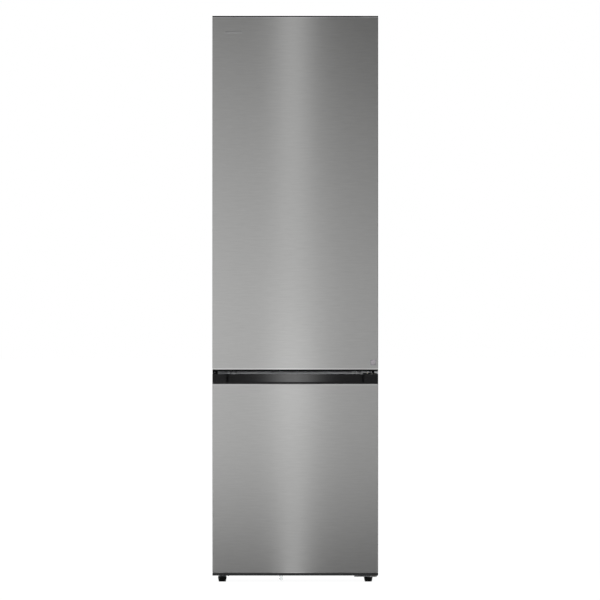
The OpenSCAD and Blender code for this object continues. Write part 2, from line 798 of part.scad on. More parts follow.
module foot_bracket_holes(x0, x1) {
  rod(foot_x, foot_y, [low_plate_z - cut, cab_base_z + cut], stud_r + fit);
  for (p = low_screws(x0, x1)) translate([p[0], cab_front_y + cut, p[1]])
    rotate([90, 0, 0]) cylinder(h = plate_t + 2 * cut, r = shank_r + fit);
}

module bottom_hinge() color("silver") difference() {
  union() {
    foot_bracket(flange_x0, wide_x);
    rod(hinge_x, hinge_y, [low_plate_z, low_plate_z + plate_t], nose_r);
    span([narrow_x, wide_x], [hinge_y, cab_front_y], [low_plate_z, low_plate_z + plate_t]);
    rod(hinge_x, hinge_y, [low_plate_z, base_clear + pin_l], pin_r);
  }
  foot_bracket_holes(flange_x0, wide_x);
}

module left_foot_bracket() color("silver") mirror([1, 0, 0]) difference() {
  foot_bracket(left_x0, left_x1);
  foot_bracket_holes(left_x0, left_x1);
}

// Screw: head on the plate, shank in its hole.
module screw(l) {
  translate([0, 0, -l]) cylinder(h = l + head_h / 2, r = shank_r);
  cylinder(h = head_h, r = screw_r);
}

module hinge_screws() color("silver") {
  for (p = top_screws()) translate([p[0], p[1], cab_top_z + top_plate_t]) screw(top_plate_t);
  for (p = mid_screws()) translate([p[0], cab_front_y - plate_t, p[1]]) rotate([90, 0, 0]) screw(plate_t);
  for (p = low_screws(flange_x0, wide_x))
    translate([p[0], cab_front_y - plate_t, p[1]]) rotate([90, 0, 0]) screw(plate_t);
  for (p = low_screws(left_x0, left_x1))
    translate([-p[0], cab_front_y - plate_t, p[1]]) rotate([90, 0, 0]) screw(plate_t);
}

// Plugs in the spare holes for a left-hand hinge.
module hinge_hole_plugs() color("gray")
  for (p = mid_screws()) translate([-p[0], cab_front_y, p[1]]) rotate([90, 0, 0])
    cylinder(h = head_h, r1 = screw_r + 1, r2 = screw_r);

// Forks under the rear of the base, each with an axle for its roller.
module rear_roller_brackets() color("silver")
  for (s = [-1, 1]) {
    x = [s * foot_x - roller_w / 2 - cut, s * foot_x + roller_w / 2 + cut];
    y0 = roller_y - roller_r - fork_room - plate_t;
    z = [fork_z, tray_z - pan_t];
    for (px = [x[0] - plate_t, x[1]]) span([px, px + plate_t], [y0, roller_y + roller_r], z);
    span([x[0] - plate_t, x[1] + plate_t], [y0, y0 + plate_t], z);
    translate([x[0] - cut, roller_y, roller_r]) rotate([0, 90, 0])
      cylinder(h = x[1] - x[0] + 2 * cut, r = axle_r);
  }

// Hermetic can: a turned pot with round shoulders, a seam ring and its terminal stub.
module compressor() color("#202020") {
  translate([comp_x, comp_y, comp_z]) {
    rotate_extrude() intersection() {
      round_rect([-comp_r, comp_r], [0, comp_h], comp_shoulder);
      square([comp_r, comp_h]);
    }
    translate([0, 0, comp_h / 2 - seam_h]) difference() {
      cylinder(h = seam_h, r = comp_r + seam_out);
      translate([0, 0, -cut]) cylinder(h = seam_h + 2 * cut, r = comp_r - cut);
    }
  }
  for (s = [-1, 1]) {
    y = comp_y + s * strap_y;
    difference() {
      span([comp_x - mount_x - mount_r - cut, comp_x + mount_x + mount_r + cut],
        [y - strap_w / 2, y + strap_w / 2], [comp_z, comp_z + plate_t]);
      for (t = [-1, 1])
        rod(comp_x + t * mount_x, y, [comp_z - cut, comp_z + plate_t + cut], mount_bore_r + 2);
    }
    for (t = [-1, 1]) translate([comp_x + t * mount_x, y, tray_z]) rubber_mount();
  }
}

// Turned rubber foot with a waist and a bore.
module rubber_mount() rotate_extrude() polygon([[mount_bore_r, 0], [mount_r, 0], [mount_r, 3],
  [mount_waist_r, 5], [mount_waist_r, mount_h - 3], [mount_r, mount_h], [mount_r, mount_h + cut],
  [mount_bore_r, mount_h + cut]]);

// Moulded box over the compressor's terminals.
module relay_cover() color("black") {
  x = [comp_x - comp_r - relay_gap - relay_w, comp_x - comp_r - relay_gap];
  y = [comp_y - relay_d / 2, comp_y + relay_d / 2];
  z = [comp_z + relay_rise, comp_z + relay_rise + relay_h];
  mid_z = (z[0] + z[1]) / 2;
  difference() {
    deep_box(x, y, z, 5);
    span([x[0] + cover_t, x[1] - cover_t], [y[0] + cover_t, y[1] - cover_t],
      [z[0] + cover_t, z[1] - cover_t]);
    rod(x[0] + relay_w / 3, comp_y, [z[0] - cut, z[0] + cover_t + cut], gland_bore_r);
  }
  difference() {
    span([x[1] - cut, comp_x], [comp_y - stub_d / 2, comp_y + stub_d / 2],
      [mid_z - stub_h / 2, mid_z + stub_h / 2]);
    rod(comp_x, comp_y, [comp_z, comp_top_z], comp_r);
  }
}

// Shallow open tray that catches the defrost water on top of the compressor.
module evaporation_tray() color("dimgray") {
  x = [comp_x - tray_w / 2, comp_x + tray_w / 2];
  y = [comp_y - tray_d / 2, comp_y + tray_d / 2];
  z = [comp_top_z, comp_top_z + tray_h];
  difference() {
    tall_box(x, y, z, tray_r);
    tall_box([x[0] + tray_t, x[1] - tray_t], [y[0] + tray_t, y[1] - tray_t], [z[0] + tray_t, z[1] + cut],
      tray_r - tray_t);
  }
}

// Quarter bend of a tube in the plane across the cabinet, from sideways to upright.
module elbow(p, r) translate([p[0], p[1], p[2] + bend_r]) rotate([90, 0, 0]) rotate([0, 0, -90])
  rotate_extrude(angle = 90) translate([bend_r, 0]) circle(r);

// Tube that leaves the can sideways, bends and rises into the compartment's roof.
module riser(x, y, z) difference() {
  union() {
    translate([comp_x, y, z]) rotate([0, 90, 0]) cylinder(h = x - bend_r - comp_x, r = pipe_r);
    elbow([x - bend_r, y, z], pipe_r);
    rod(x, y, [z + bend_r, machine_top_z - pan_t], pipe_r);
  }
  rod(comp_x, comp_y, [comp_z, comp_top_z], comp_r);
}

// Suction and discharge pipes, and the filter drier on the second.
module refrigerant_pipes() color("peru") {
  riser(riser_x, comp_y - pipe_side, comp_z + suction_rise);
  riser(riser_x + pipe_pitch, comp_y + pipe_side, comp_z + discharge_rise);
  translate([riser_x + pipe_pitch, comp_y + pipe_side, comp_z + suction_rise + drier_r]) rotate_extrude()
    polygon([[pipe_r - 1, 0], [pipe_r + 1, 0], [drier_r, drier_taper], [drier_r, drier_l - drier_taper],
      [pipe_r + 1, drier_l], [pipe_r - 1, drier_l]]);
}

// Bushing for the mains cord: a round nozzle and the block that hangs it under the tray.
module cord_gland() color("black") difference() {
  translate([gland_x, cab_back_y + pan_t, gland_z]) union() {
    rotate([90, 0, 0]) cylinder(h = gland_l, r = gland_r);
    span([-gland_r - 3, gland_r + 3], [-gland_l, -gland_l / 2], [-gland_r, gland_r + cut]);
  }
  translate([gland_x, cab_back_y + pan_t + cut, gland_z]) rotate([90, 0, 0])
    cylinder(h = gland_l + 2 * cut, r = gland_bore_r);
}

module drain_tube() color("whitesmoke") difference() {
  rod(drain_x, drain_y, [drain_z, cab_base_z], drain_r);
  rod(drain_x, drain_y, [drain_z - cut, cab_base_z - drain_t], drain_r - drain_t);
}

// Round-ended slot through a duct wall that faces the front, to be cut out.
module slot(x, y, z, l, h)
  deep_box([x - l / 2, x + l / 2], [y - cut, y + duct_t + cut], [z, z + h], h / 2 - 0.1);

// Hollow cold-air duct on the back wall, with outlet slots between the shelves.
module air_duct_panel() color("whitesmoke") {
  z = [rack_z + duct_rise, fridge_roof_z - duct_head];
  x = duct_w / 2;
  difference() {
    deep_box([-x, x], [duct_y, cavity_back_y], z, duct_r);
    deep_box([duct_t - x, x - duct_t], [duct_y + duct_t, cavity_back_y + cut],
      [z[0] + duct_t, z[1] - duct_t], duct_r - duct_t);
    for (s = shelf_z, t = [-1, 1])
      slot(t * outlet_x, duct_y, s + outlet_rise, outlet_l, outlet_h);
  }
}

// Housing under the fridge roof, with a pocket for its key.
module control_panel() color("whitesmoke") {
  z = [fridge_roof_z - panel_h, fridge_roof_z];
  difference() {
    deep_box([-panel_w / 2, panel_w / 2], [panel_y, panel_y + panel_d], z, panel_t + cut);
    span([panel_t - panel_w / 2, panel_w / 2 - panel_t], [panel_y + panel_t, panel_y + panel_d - panel_t],
      [z[0] + panel_t, z[1] + cut]);
    span([-key_w / 2 - fit, key_w / 2 + fit], [panel_y - cut, panel_y + panel_t + cut],
      [z[0] + key_edge - fit, z[1] - key_edge + fit]);
  }
}

module set_key() color("gray") {
  z = [fridge_roof_z - panel_h + key_edge, fridge_roof_z - key_edge];
  span([-key_w / 2, key_w / 2], [panel_y - key_out, panel_y + panel_t + 2], z);
}

module lamp_lens() color("white") difference() {
  z = [fridge_roof_z - lamp_h, fridge_roof_z];
  y = panel_y + panel_d + lamp_gap;
  tall_box([-lamp_w / 2, lamp_w / 2], [y, y + lamp_d], z, lamp_r);
  tall_box([lamp_t - lamp_w / 2, lamp_w / 2 - lamp_t], [y + lamp_t, y + lamp_d - lamp_t],
    [z[0] + lamp_t, z[1] + cut], lamp_r - lamp_t);
}

// Glass shelf on two ledges, with a moulded front trim and a back rail.
module glass_shelf(z) {
  x = cavity_x - cut;
  glass_y = shelf_front_y + min(trim_wall, trim_d - 1);
  trim_back_y = shelf_front_y + trim_d;
  span([-x, x], [glass_y, duct_y - fit], [z, z + glass_t]);
  difference() {
    deep_box([-x, x], [shelf_front_y, trim_back_y], [z - trim_drop, z + glass_t + trim_rise], trim_r);
    for (s = [-1, 1])
      span([s > 0 ? x - ledge_w - cut : -x - cut, s > 0 ? x + cut : ledge_w + cut - x],
        [shelf_front_y + ledge_w - cut, trim_back_y + cut], [z - trim_drop - cut, z]);
  }
}

module fridge_shelf_1() color("lightcyan") glass_shelf(shelf_z[0]);
module fridge_shelf_2() color("lightcyan") glass_shelf(shelf_z[1]);
module fridge_shelf_3() color("lightcyan") glass_shelf(shelf_z[2]);
module crisper_lid() color("lightcyan") glass_shelf(lid_z);

// Wire rack for lying bottles: two cross bars on the ledges and a row of rods.
module bottle_rack() color("silver") {
  x = cavity_x - 2;
  y = [shelf_front_y + ledge_w + bar_setback, duct_y - bar_clear];
  bar_r = wire_r + 1;
  z = rack_z + bar_r;
  for (py = y) translate([-x, py, z]) rotate([0, 90, 0]) cylinder(h = 2 * x, r = bar_r);
  for (i = [-6:6]) translate([i * wire_pitch, y[0] - bar_setback, z]) rotate([-90, 0, 0])
    cylinder(h = y[1] - y[0] + 2 * bar_setback, r = wire_r);
}

// Two glass sheets that carry the upper freezer drawers.
module freezer_shelves() color("lightcyan")
  for (z = freezer_shelf_z)
    span([cut - cavity_x, cavity_x - cut], [drawer_front_y + ledge_w, cover_y - fit], [z, z + glass_t]);

// Hollow cover over the evaporator and fan, with air slots.
module freezer_duct_cover() color("whitesmoke") difference() {
  z = [hump_z + cover_clear, freezer_roof_z - cover_clear];
  x = cavity_x - cover_clear;
  deep_box([-x, x], [cover_y, cavity_back_y], z, freezer_cover_r);
  deep_box([duct_t - x, x - duct_t], [cover_y + duct_t, cavity_back_y + cut],
    [z[0] + duct_t, z[1] - duct_t], freezer_cover_r - duct_t);
  for (s = freezer_shelf_z, i = [-2:2]) slot(i * slot_pitch, cover_y, s + slot_rise, slot_l, slot_h);
  translate([0, cover_y - cut, freezer_shelf_z[0] + fan_rise]) rotate([-90, 0, 0])
    cylinder(h = duct_t + 2 * cut, r = fan_r);
}

// Black moulded foot with a steel stud that screws into the bracket's collar.
module foot(x) translate([x, foot_y, 0]) rotate_extrude()
  polygon([[0, 0], [foot_sole_r, 0], [foot_r, foot_h - foot_bevel], [foot_r - foot_bevel, foot_h],
    [stud_r, foot_h], [stud_r, stud_top_z - cut], [stud_r - cut, stud_top_z], [0, stud_top_z]]);

module left_foot() color("black") foot(-foot_x);
module right_foot() color("black") foot(foot_x);

module roller(x) translate([x - roller_w / 2, roller_y, roller_r]) rotate([0, 90, 0]) difference() {
  cylinder(h = roller_w, r = roller_r);
  translate([0, 0, -cut]) cylinder(h = roller_w + 2 * cut, r = axle_r + fit);
}

module left_roller() color("dimgray") roller(-foot_x);
module right_roller() color("dimgray") roller(foot_x);

// Upright box whose lower edges are round.
module drawer_form(x, y, z, r) intersection() {
  tall_box([-x, x], y, z, drawer_corner);
  deep_box([-x, x], [y[0] - cut, y[1] + cut], [z[0], z[1] + 2 * r], r);
}

// Open drawer with a raised front and a finger lip along its top edge.
module drawer(x, y, z, lip) {
  face_y = y[0] + lip - liner_t;
  difference() {
    drawer_form(x, [y[0] + lip, y[1]], z, drawer_r);
    drawer_form(x - bin_t, [y[0] + lip + bin_t + cut, y[1] - bin_t], [z[0] + bin_t, z[1] + cut],
      drawer_r - bin_t);
  }
  deep_box([-x, x], [face_y, y[0] + lip + cut], [z[0] + front_rise, z[1]], drawer_r);
  deep_box([-x / 2, x / 2], [y[0], face_y + cut], [z[1] - lip_h, z[1]], lip_r);
}

module crisper_drawer() color("aliceblue")
  drawer(drawer_x, [crisper_front_y, duct_y - crisper_back],
    [fridge_floor_z + fit, fridge_floor_z + fit + crisper_h], front_lip - liner_t);

module freezer_drawer(z, h, back) color("aliceblue")
  drawer(drawer_x, [drawer_front_y, back], [z, z + h], front_lip);

module freezer_drawer_top()
  freezer_drawer(freezer_shelf_z[1] + glass_t + fit, drawer_h, cover_y - drawer_back);
module freezer_drawer_middle()
  freezer_drawer(freezer_shelf_z[0] + glass_t + fit, drawer_h, cover_y - drawer_back);
module freezer_drawer_bottom()
  freezer_drawer(low_drawer_z, drawer_low_h, hump_y - low_drawer_back);

// Plan outline of a door with its round front corners, drawn in by an inset.
module door_plan(inset, y1) {
  r = max(skin_r - inset, 1);
  x = half_w - inset;
  y = front_y + inset;
  translate([r - x, y]) square([2 * (x - r), y1 - y]);
  translate([-x, y + r]) square([2 * x, y1 - y - r]);
  for (s = [-1, 1]) translate([s * (x - r), y + r]) circle(r);
}

// Folded steel front: face, sides, back folds and a hem along the top and bottom.
module door_skin(z) {
  translate([0, 0, z[0]]) linear_extrude(z[1] - z[0]) difference() {
    door_plan(0, liner_face_y);
    door_plan(skin_t, liner_face_y - skin_t);
    translate([skin_fold - half_w, liner_face_y - 2 * skin_t]) square([width - 2 * skin_fold, 4 * skin_t]);
  }
  for (pz = [z[0], z[1] - skin_t])
    span([skin_r - half_w, half_w - skin_r], [front_y + skin_t / 2, front_y + hem_d], [pz, pz + skin_t]);
}

module fridge_door_skin() color("silver") door_skin([fridge_base_z, fridge_skin_top]);
module freezer_door_skin() color("silver") door_skin([freezer_skin_base, freezer_skin_top]);

// The space inside a door's steel, between two heights.
module inner_plan(z, inset) translate([0, 0, z[0]]) linear_extrude(z[1] - z[0])
  door_plan(skin_t + cap_room + inset, liner_face_y - skin_t - inset);

// Strip that joins the part of a cap inside the hems to the part outside them.
module hem_link(z)
  span([skin_fold - half_w, half_w - skin_fold], [front_y + hem_d + cap_room, liner_face_y - skin_t], z);

// Hollow tray inside a door's steel, with its deck at the low or high end.
module cap_tray(z, deck_up) difference() {
  inner_plan(z, 0);
  inner_plan(deck_up ? [z[0] - cut, z[1] - cap_t] : [z[0] + cap_t, z[1] + cut], cap_t);
}

module fridge_door_top_cap() color("black") difference() {
  z1 = fridge_skin_top - skin_t;
  union() {
    cap_tray([z1 - cap_h, z1], true);
    hem_link([z1 - cut, fridge_skin_top + cut]);
    translate([0, 0, fridge_skin_top]) linear_extrude(top_edge) door_plan(0, door_back_y);
    rod(hinge_x, hinge_y, [z1 - bush_l - cap_t, fridge_skin_top], boss_r);
  }
  rod(hinge_x, hinge_y, [fridge_skin_top, height + cut], pocket_r);
  difference() {
    rod(-hinge_x, hinge_y, [fridge_skin_top, height + cut], pocket_r);
    rod(-hinge_x, hinge_y, [fridge_skin_top - cut, height + 2 * cut], pocket_r - pocket_gap);
  }
  rod(hinge_x, hinge_y, [fridge_skin_top - bush_l, height], bush_r);
}

module fridge_door_bottom_cap() color("black") difference() {
  z0 = fridge_base_z + skin_t;
  union() {
    cap_tray([z0, z0 + cap_h], false);
    hem_link([fridge_base_z, z0 + cut]);
    rod(hinge_x, hinge_y, [fridge_base_z, z0 + bush_l + cap_t], boss_r);
  }
  rod(hinge_x, hinge_y, [fridge_base_z - cut, fridge_base_z + bush_l], bush_r);
}

module freezer_door_bottom_cap() color("black") difference() {
  z0 = freezer_skin_base + skin_t;
  union() {
    cap_tray([z0, z0 + cap_h], false);
    hem_link([freezer_skin_base - cut, z0 + cut]);
    translate([0, 0, base_clear]) linear_extrude(bottom_edge) door_plan(skin_t / 2, door_back_y);
    rod(hinge_x, hinge_y, [base_clear, z0 + bush_l + cap_t], boss_r);
  }
  rod(hinge_x, hinge_y, [base_clear - cut, base_clear + bush_l], bush_r);
}

// Dark moulded rail along the top of the freezer door, with a finger recess behind the steel's lip.
module freezer_grip_rail() color("#1c1c1c") difference() {
  z0 = freezer_skin_top - grip_undercut - cap_t;
  x_end = half_w - grip_end;
  y_in = front_y + grip_depth + cap_t;
  y_out = liner_face_y - skin_t;
  union() {
    difference() {
      union() {
        inner_plan([z0, freezer_skin_top - skin_t], 0);
        hem_link([freezer_skin_top - skin_t - cut, freezer_skin_top + cut]);
        translate([0, 0, freezer_skin_top]) linear_extrude(grip_h) door_plan(0, liner_face_y);
      }
      span([cap_t - in_half, in_half - cap_t], [y_in, y_out - cap_t], [z0 - cut, freezer_top - cap_t]);
      for (s = [-1, 1])
        span(s > 0 ? [x_end + cap_t, in_half - cap_t] : [cap_t - in_half, -x_end - cap_t],
          [front_y + hem_d + cap_t, y_in + cut], [z0 - cut, freezer_top - cap_t]);
    }
    rod(hinge_x, hinge_y, [freezer_top - bush_l - cap_t, freezer_top], boss_r);
  }
  rod(hinge_x, hinge_y, [freezer_top - bush_l, freezer_top + cut], bush_r);
  recess(x_end, [front_y - cut, front_y + grip_depth], [freezer_skin_top, freezer_top + cut]);
  recess(x_end, [front_y + hem_d, front_y + grip_depth], [z0 + cap_t, freezer_skin_top + cut]);
}

// Finger recess in plan: its ends slope in from the front to the back.
module recess(x_end, y, z) translate([0, 0, z[0]]) linear_extrude(z[1] - z[0]) {
  x0 = x_end - grip_draft * (y[0] - front_y) / grip_depth;
  x1 = x_end - grip_draft;
  polygon([[-x0, y[0]], [x0, y[0]], [x1, y[1]], [-x1, y[1]]]);
}

// Fridge door's inner panel: a sheet with a raised hollow frame and lugs that carry the bins.
module fridge_door_liner() color("white") {
  y = [door_back_y - cut, door_back_y + dyke_h];
  difference() {
    union() {
      span([-in_half, in_half], [liner_face_y, door_back_y], [fridge_base_z, fridge_skin_top]);
      deep_ring(dyke_x, dyke_z, y, dyke_w, dyke_r);
    }
    deep_ring(dyke_x - liner_t, [dyke_z[0] + liner_t, dyke_z[1] - liner_t],
      [liner_face_y - cut, y[1] - liner_t], dyke_w - 2 * liner_t, dyke_r - liner_t);
  }
  for (z = concat([bottle_bin_z], bin_z), s = [-1, 1])
    span(s > 0 ? [bin_x - lug_w, bin_x + bin_side + cut] : [-bin_x - bin_side - cut, lug_w - bin_x],
      [y[0], y[1] - lug_setback], [z - lug_h, z]);
}

// Freezer door's inner panel, raised in the middle.
module freezer_door_liner() color("white") difference() {
  union() {
    span([-in_half, in_half], [liner_face_y, door_back_y], [freezer_skin_base, freezer_top]);
    deep_box([-dyke_x, dyke_x], [door_back_y - cut, door_back_y + panel_rise], panel_z, panel_r);
  }
  panel_hollow(liner_face_y - cut);
}

// Space behind the raised part of the freezer door's panel, from a given depth.
module panel_hollow(y0)
  deep_box([liner_t - dyke_x, dyke_x - liner_t], [y0, door_back_y + panel_rise - liner_t],
    [panel_z[0] + liner_t, panel_z[1] - liner_t], panel_r - liner_t);

// Foam between a door's steel and its inner panel.
module door_foam(z) {
  span([skin_fold - half_w, half_w - skin_fold], [liner_face_y - 2 * skin_t, liner_face_y], z);
  translate([0, 0, z[0]]) linear_extrude(z[1] - z[0]) door_plan(skin_t + cap_room, liner_face_y - skin_t);
}

module fridge_door_foam() color("wheat")
  door_foam([fridge_base_z + skin_t + cap_h, fridge_skin_top - skin_t - cap_h]);

module freezer_door_foam() color("wheat") {
  door_foam([freezer_skin_base + skin_t + cap_h, freezer_skin_top - grip_undercut - cap_t]);
  panel_hollow(liner_face_y - cut);
}

// Magnetic seal: a flat foot with a softer bulb that nearly meets the cabinet.
module gasket(z) {
  deep_ring(gasket_x, z, [door_back_y, door_back_y + gasket_foot], gasket_w, gasket_r);
  deep_ring(gasket_x - bulb_inset, [z[0] + bulb_inset, z[1] - bulb_inset],
    [door_back_y + gasket_foot - cut, cab_front_y - gasket_clear], gasket_w - 2 * bulb_inset,
    gasket_r - bulb_inset);
}

module fridge_door_gasket() color("gray") gasket(fridge_gasket_z);
module freezer_door_gasket() color("gray") gasket(freezer_gasket_z);

// Open bin between the sides of the raised frame, round at its front corners.
module door_bin(z, h) {
  y = [door_back_y, bin_back_y];
  difference() {
    union() {
      tall_box([-bin_x, bin_x], y, [z, z + h], bin_r);
      span([-bin_x, bin_x], [y[0], y[0] + 2 * bin_r], [z, z + h]);
    }
    tall_box([bin_t - bin_x, bin_x - bin_t], [y[0] + bin_t, y[1] - bin_t], [z + bin_t, z + h + cut],
      bin_r - bin_t);
  }
}

module door_bin_1() color("aliceblue") door_bin(bin_z[2], bin_h);
module door_bin_2() color("aliceblue") door_bin(bin_z[1], bin_h);
module door_bin_3() color("aliceblue") door_bin(bin_z[0], bin_h);
module bottle_bin() color("aliceblue") door_bin(bottle_bin_z, bottle_bin_h);

// Bush: a tube in its cap, with a collar between the cap and a hinge plate where one is given.
module bush(z, collar_z = []) difference() {
  union() {
    rod(hinge_x, hinge_y, z, bush_r);
    if (len(collar_z) > 0) rod(hinge_x, hinge_y, collar_z, bush_r + collar_out);
  }
  rod(hinge_x, hinge_y, [z[0] - bush_l, z[1] + bush_l], pin_r + pin_clear);
}

module fridge_door_bushes() color("ivory") {
  low_z = mid_plate_z + plate_t + fit;
  bush([fridge_skin_top - bush_l, fridge_skin_top]);
  bush([low_z, fridge_base_z + bush_l], [low_z, fridge_base_z]);
}

module freezer_door_bushes() color("ivory") {
  high_z = mid_plate_z - fit;
  low_z = low_plate_z + plate_t + fit;
  bush([freezer_top - bush_l, high_z], [freezer_top, high_z]);
  bush([low_z, base_clear + bush_l], [low_z, base_clear]);
}

left_side_panel();
right_side_panel();
top_panel();
back_panel();
base_pan();
cabinet_foam();
fridge_liner();
freezer_liner();
mullion_rail();
top_hinge();
top_hinge_cover();
middle_hinge();
bottom_hinge();
left_foot_bracket();
hinge_screws();
hinge_hole_plugs();
rear_roller_brackets();
compressor();
relay_cover();
evaporation_tray();
refrigerant_pipes();
cord_gland();
drain_tube();
air_duct_panel();
control_panel();
lamp_lens();
fridge_shelf_1();
fridge_shelf_2();
fridge_shelf_3();
bottle_rack();
crisper_lid();
freezer_shelves();
freezer_duct_cover();
left_foot();
right_foot();
left_roller();
right_roller();
crisper_drawer();
freezer_drawer_top();
freezer_drawer_middle();
freezer_drawer_bottom();
set_key();
fridge_door_skin();
fridge_door_top_cap();
fridge_door_bottom_cap();
fridge_door_liner();
fridge_door_foam();
fridge_door_gasket();
door_bin_1();
door_bin_2();
door_bin_3();
bottle_bin();
fridge_door_bushes();
freezer_door_skin();
freezer_grip_rail();
freezer_door_bottom_cap();
freezer_door_liner();
freezer_door_foam();
freezer_door_gasket();
freezer_door_bushes();
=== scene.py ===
# Fridge freezer in brushed steel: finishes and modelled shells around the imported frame.
# Everything is in metres, +X to the right of someone facing the doors, +Y to the wall, +Z up.
import json
import math

import bmesh
import bpy
import numpy as np
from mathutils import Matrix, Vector

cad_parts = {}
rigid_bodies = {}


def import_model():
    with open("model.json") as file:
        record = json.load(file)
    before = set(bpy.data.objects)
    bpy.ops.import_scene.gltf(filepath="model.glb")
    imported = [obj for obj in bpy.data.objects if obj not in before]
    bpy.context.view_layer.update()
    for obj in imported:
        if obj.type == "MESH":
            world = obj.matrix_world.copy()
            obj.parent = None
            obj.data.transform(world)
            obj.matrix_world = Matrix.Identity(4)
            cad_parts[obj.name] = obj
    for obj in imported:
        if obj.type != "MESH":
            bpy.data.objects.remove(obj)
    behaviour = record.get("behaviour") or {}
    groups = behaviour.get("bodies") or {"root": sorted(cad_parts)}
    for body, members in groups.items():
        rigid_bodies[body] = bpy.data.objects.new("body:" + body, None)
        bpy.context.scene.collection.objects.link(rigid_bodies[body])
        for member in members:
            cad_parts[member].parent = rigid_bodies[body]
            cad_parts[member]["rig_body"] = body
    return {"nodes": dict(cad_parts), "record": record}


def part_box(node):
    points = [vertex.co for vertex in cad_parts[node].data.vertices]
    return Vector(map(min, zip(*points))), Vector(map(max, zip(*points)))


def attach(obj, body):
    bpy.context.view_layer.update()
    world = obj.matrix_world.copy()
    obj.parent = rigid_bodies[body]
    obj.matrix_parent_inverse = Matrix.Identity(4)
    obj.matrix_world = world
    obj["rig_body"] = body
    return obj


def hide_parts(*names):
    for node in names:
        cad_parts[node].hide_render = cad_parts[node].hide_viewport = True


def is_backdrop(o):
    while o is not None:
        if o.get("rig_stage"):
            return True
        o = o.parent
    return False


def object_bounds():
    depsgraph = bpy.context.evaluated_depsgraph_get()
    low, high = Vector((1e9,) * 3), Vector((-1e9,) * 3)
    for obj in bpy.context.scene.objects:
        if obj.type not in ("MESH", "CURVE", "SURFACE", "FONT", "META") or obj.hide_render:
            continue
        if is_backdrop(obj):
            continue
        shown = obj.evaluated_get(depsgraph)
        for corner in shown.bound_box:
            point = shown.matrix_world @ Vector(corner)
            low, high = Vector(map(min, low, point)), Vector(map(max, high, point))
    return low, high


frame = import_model()
cadLow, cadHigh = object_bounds()
nodes = frame["nodes"]
slotOf = {part["node"]: part["material_slot"] for part in frame["record"]["subparts"]}
mm = 0.001
print("frame loaded:", len(nodes), "nodes")


# Small helpers for materials

def linearColour(hexText):
    # sRGB hex to the linear numbers that a shader wants
    parts = [int(hexText[i:i + 2], 16) / 255 for i in (1, 3, 5)]
    return tuple(p / 12.92 if p <= 0.04045 else ((p + 0.055) / 1.055) ** 2.4 for p in parts) + (1.0,)


def addNode(tree, kind, inputs=None, **settings):
    # One node with its settings; an input is a number, a colour or another node's output
    node = tree.nodes.new(kind)
    for name, value in settings.items():
        setattr(node, name, value)
    for socket, value in (inputs or {}).items():
        if isinstance(value, bpy.types.NodeSocket):
            tree.links.new(value, node.inputs[socket])
        else:
            node.inputs[socket].default_value = value
    return node


def newMaterial(name, **sockets):
    # Sockets are given in camelCase: baseColor for "Base Color"
    material = bpy.data.materials.new(name)
    material.use_nodes = True
    tree = material.node_tree
    surface = tree.nodes["Principled BSDF"]
    for key, value in sockets.items():
        words = "".join(" " + c if c.isupper() else c for c in key)
        label = " ".join(word[0].upper() + word[1:] for word in words.split())
        surface.inputs[label.replace("Ior", "IOR")].default_value = value
    return material, tree, surface


def grainNoise(tree, sizesMm, detail, roughness=0.55):
    # Noise whose grain has a real size in millimetres, one for all or one each along x, y and z
    place = addNode(tree, "ShaderNodeTexCoord")
    stretch = addNode(tree, "ShaderNodeMapping", {"Vector": place.outputs["Object"]})
    stretch.inputs["Scale"].default_value = [1000.0 / size for size in np.broadcast_to(sizesMm, 3)]
    grain = addNode(tree, "ShaderNodeTexNoise", {
        "Vector": stretch.outputs[0], "Scale": 1.0, "Detail": detail, "Roughness": roughness})
    return grain.outputs["Fac"]


def cellPattern(tree, sizeMm):
    # Closed cells or crystals of a real size
    place = addNode(tree, "ShaderNodeTexCoord")
    return addNode(tree, "ShaderNodeTexVoronoi", {
        "Vector": place.outputs["Object"], "Scale": 1000.0 / sizeMm, "Randomness": 1.0})


def finishFrom(tree, surface, tint=None, rough=None, relief=None):
    # Wires patterns to a surface. tint: pattern, its low and high, shade there and there; rough: the
    # same with two roughnesses; relief: pattern, depth in millimetres, strength.
    if tint:
        share = addNode(tree, "ShaderNodeMapRange", {
            "Value": tint[0], "From Min": tint[1], "From Max": tint[2]})
        mixed = addNode(tree, "ShaderNodeMix", {
            0: share.outputs[0], 6: linearColour(tint[3]), 7: linearColour(tint[4])}, data_type="RGBA")
        tree.links.new(mixed.outputs[2], surface.inputs["Base Color"])
    if rough:
        spread = addNode(tree, "ShaderNodeMapRange", {
            "Value": rough[0], "From Min": rough[1], "From Max": rough[2], "To Min": rough[3],
            "To Max": rough[4]})
        tree.links.new(spread.outputs[0], surface.inputs["Roughness"])
    if relief:
        bump = addNode(tree, "ShaderNodeBump", {
            "Height": relief[0], "Distance": relief[1] * mm, "Strength": relief[2]})
        tree.links.new(bump.outputs[0], surface.inputs["Normal"])


# Materials, each named for what the real one is

steelLook = {
    "shade": "#c9c9c8", "shadeLow": "#bdbdbc",      # brightest and darkest brushed lines
    # The hem shades are lighter than the face: painted highlight along the rolled hems
    "hemShade": "#e8e8e7", "hemShadeLow": "#e0e0df",
    "roughness": 0.3, "anisotropy": 0.95,
    "lineMm": 1.1, "lineLengthMm": 85.0,            # real lines are 0.1 mm: drawn this coarse to show
    "patchMm": 6.0, "patchLengthMm": 55.0,
}


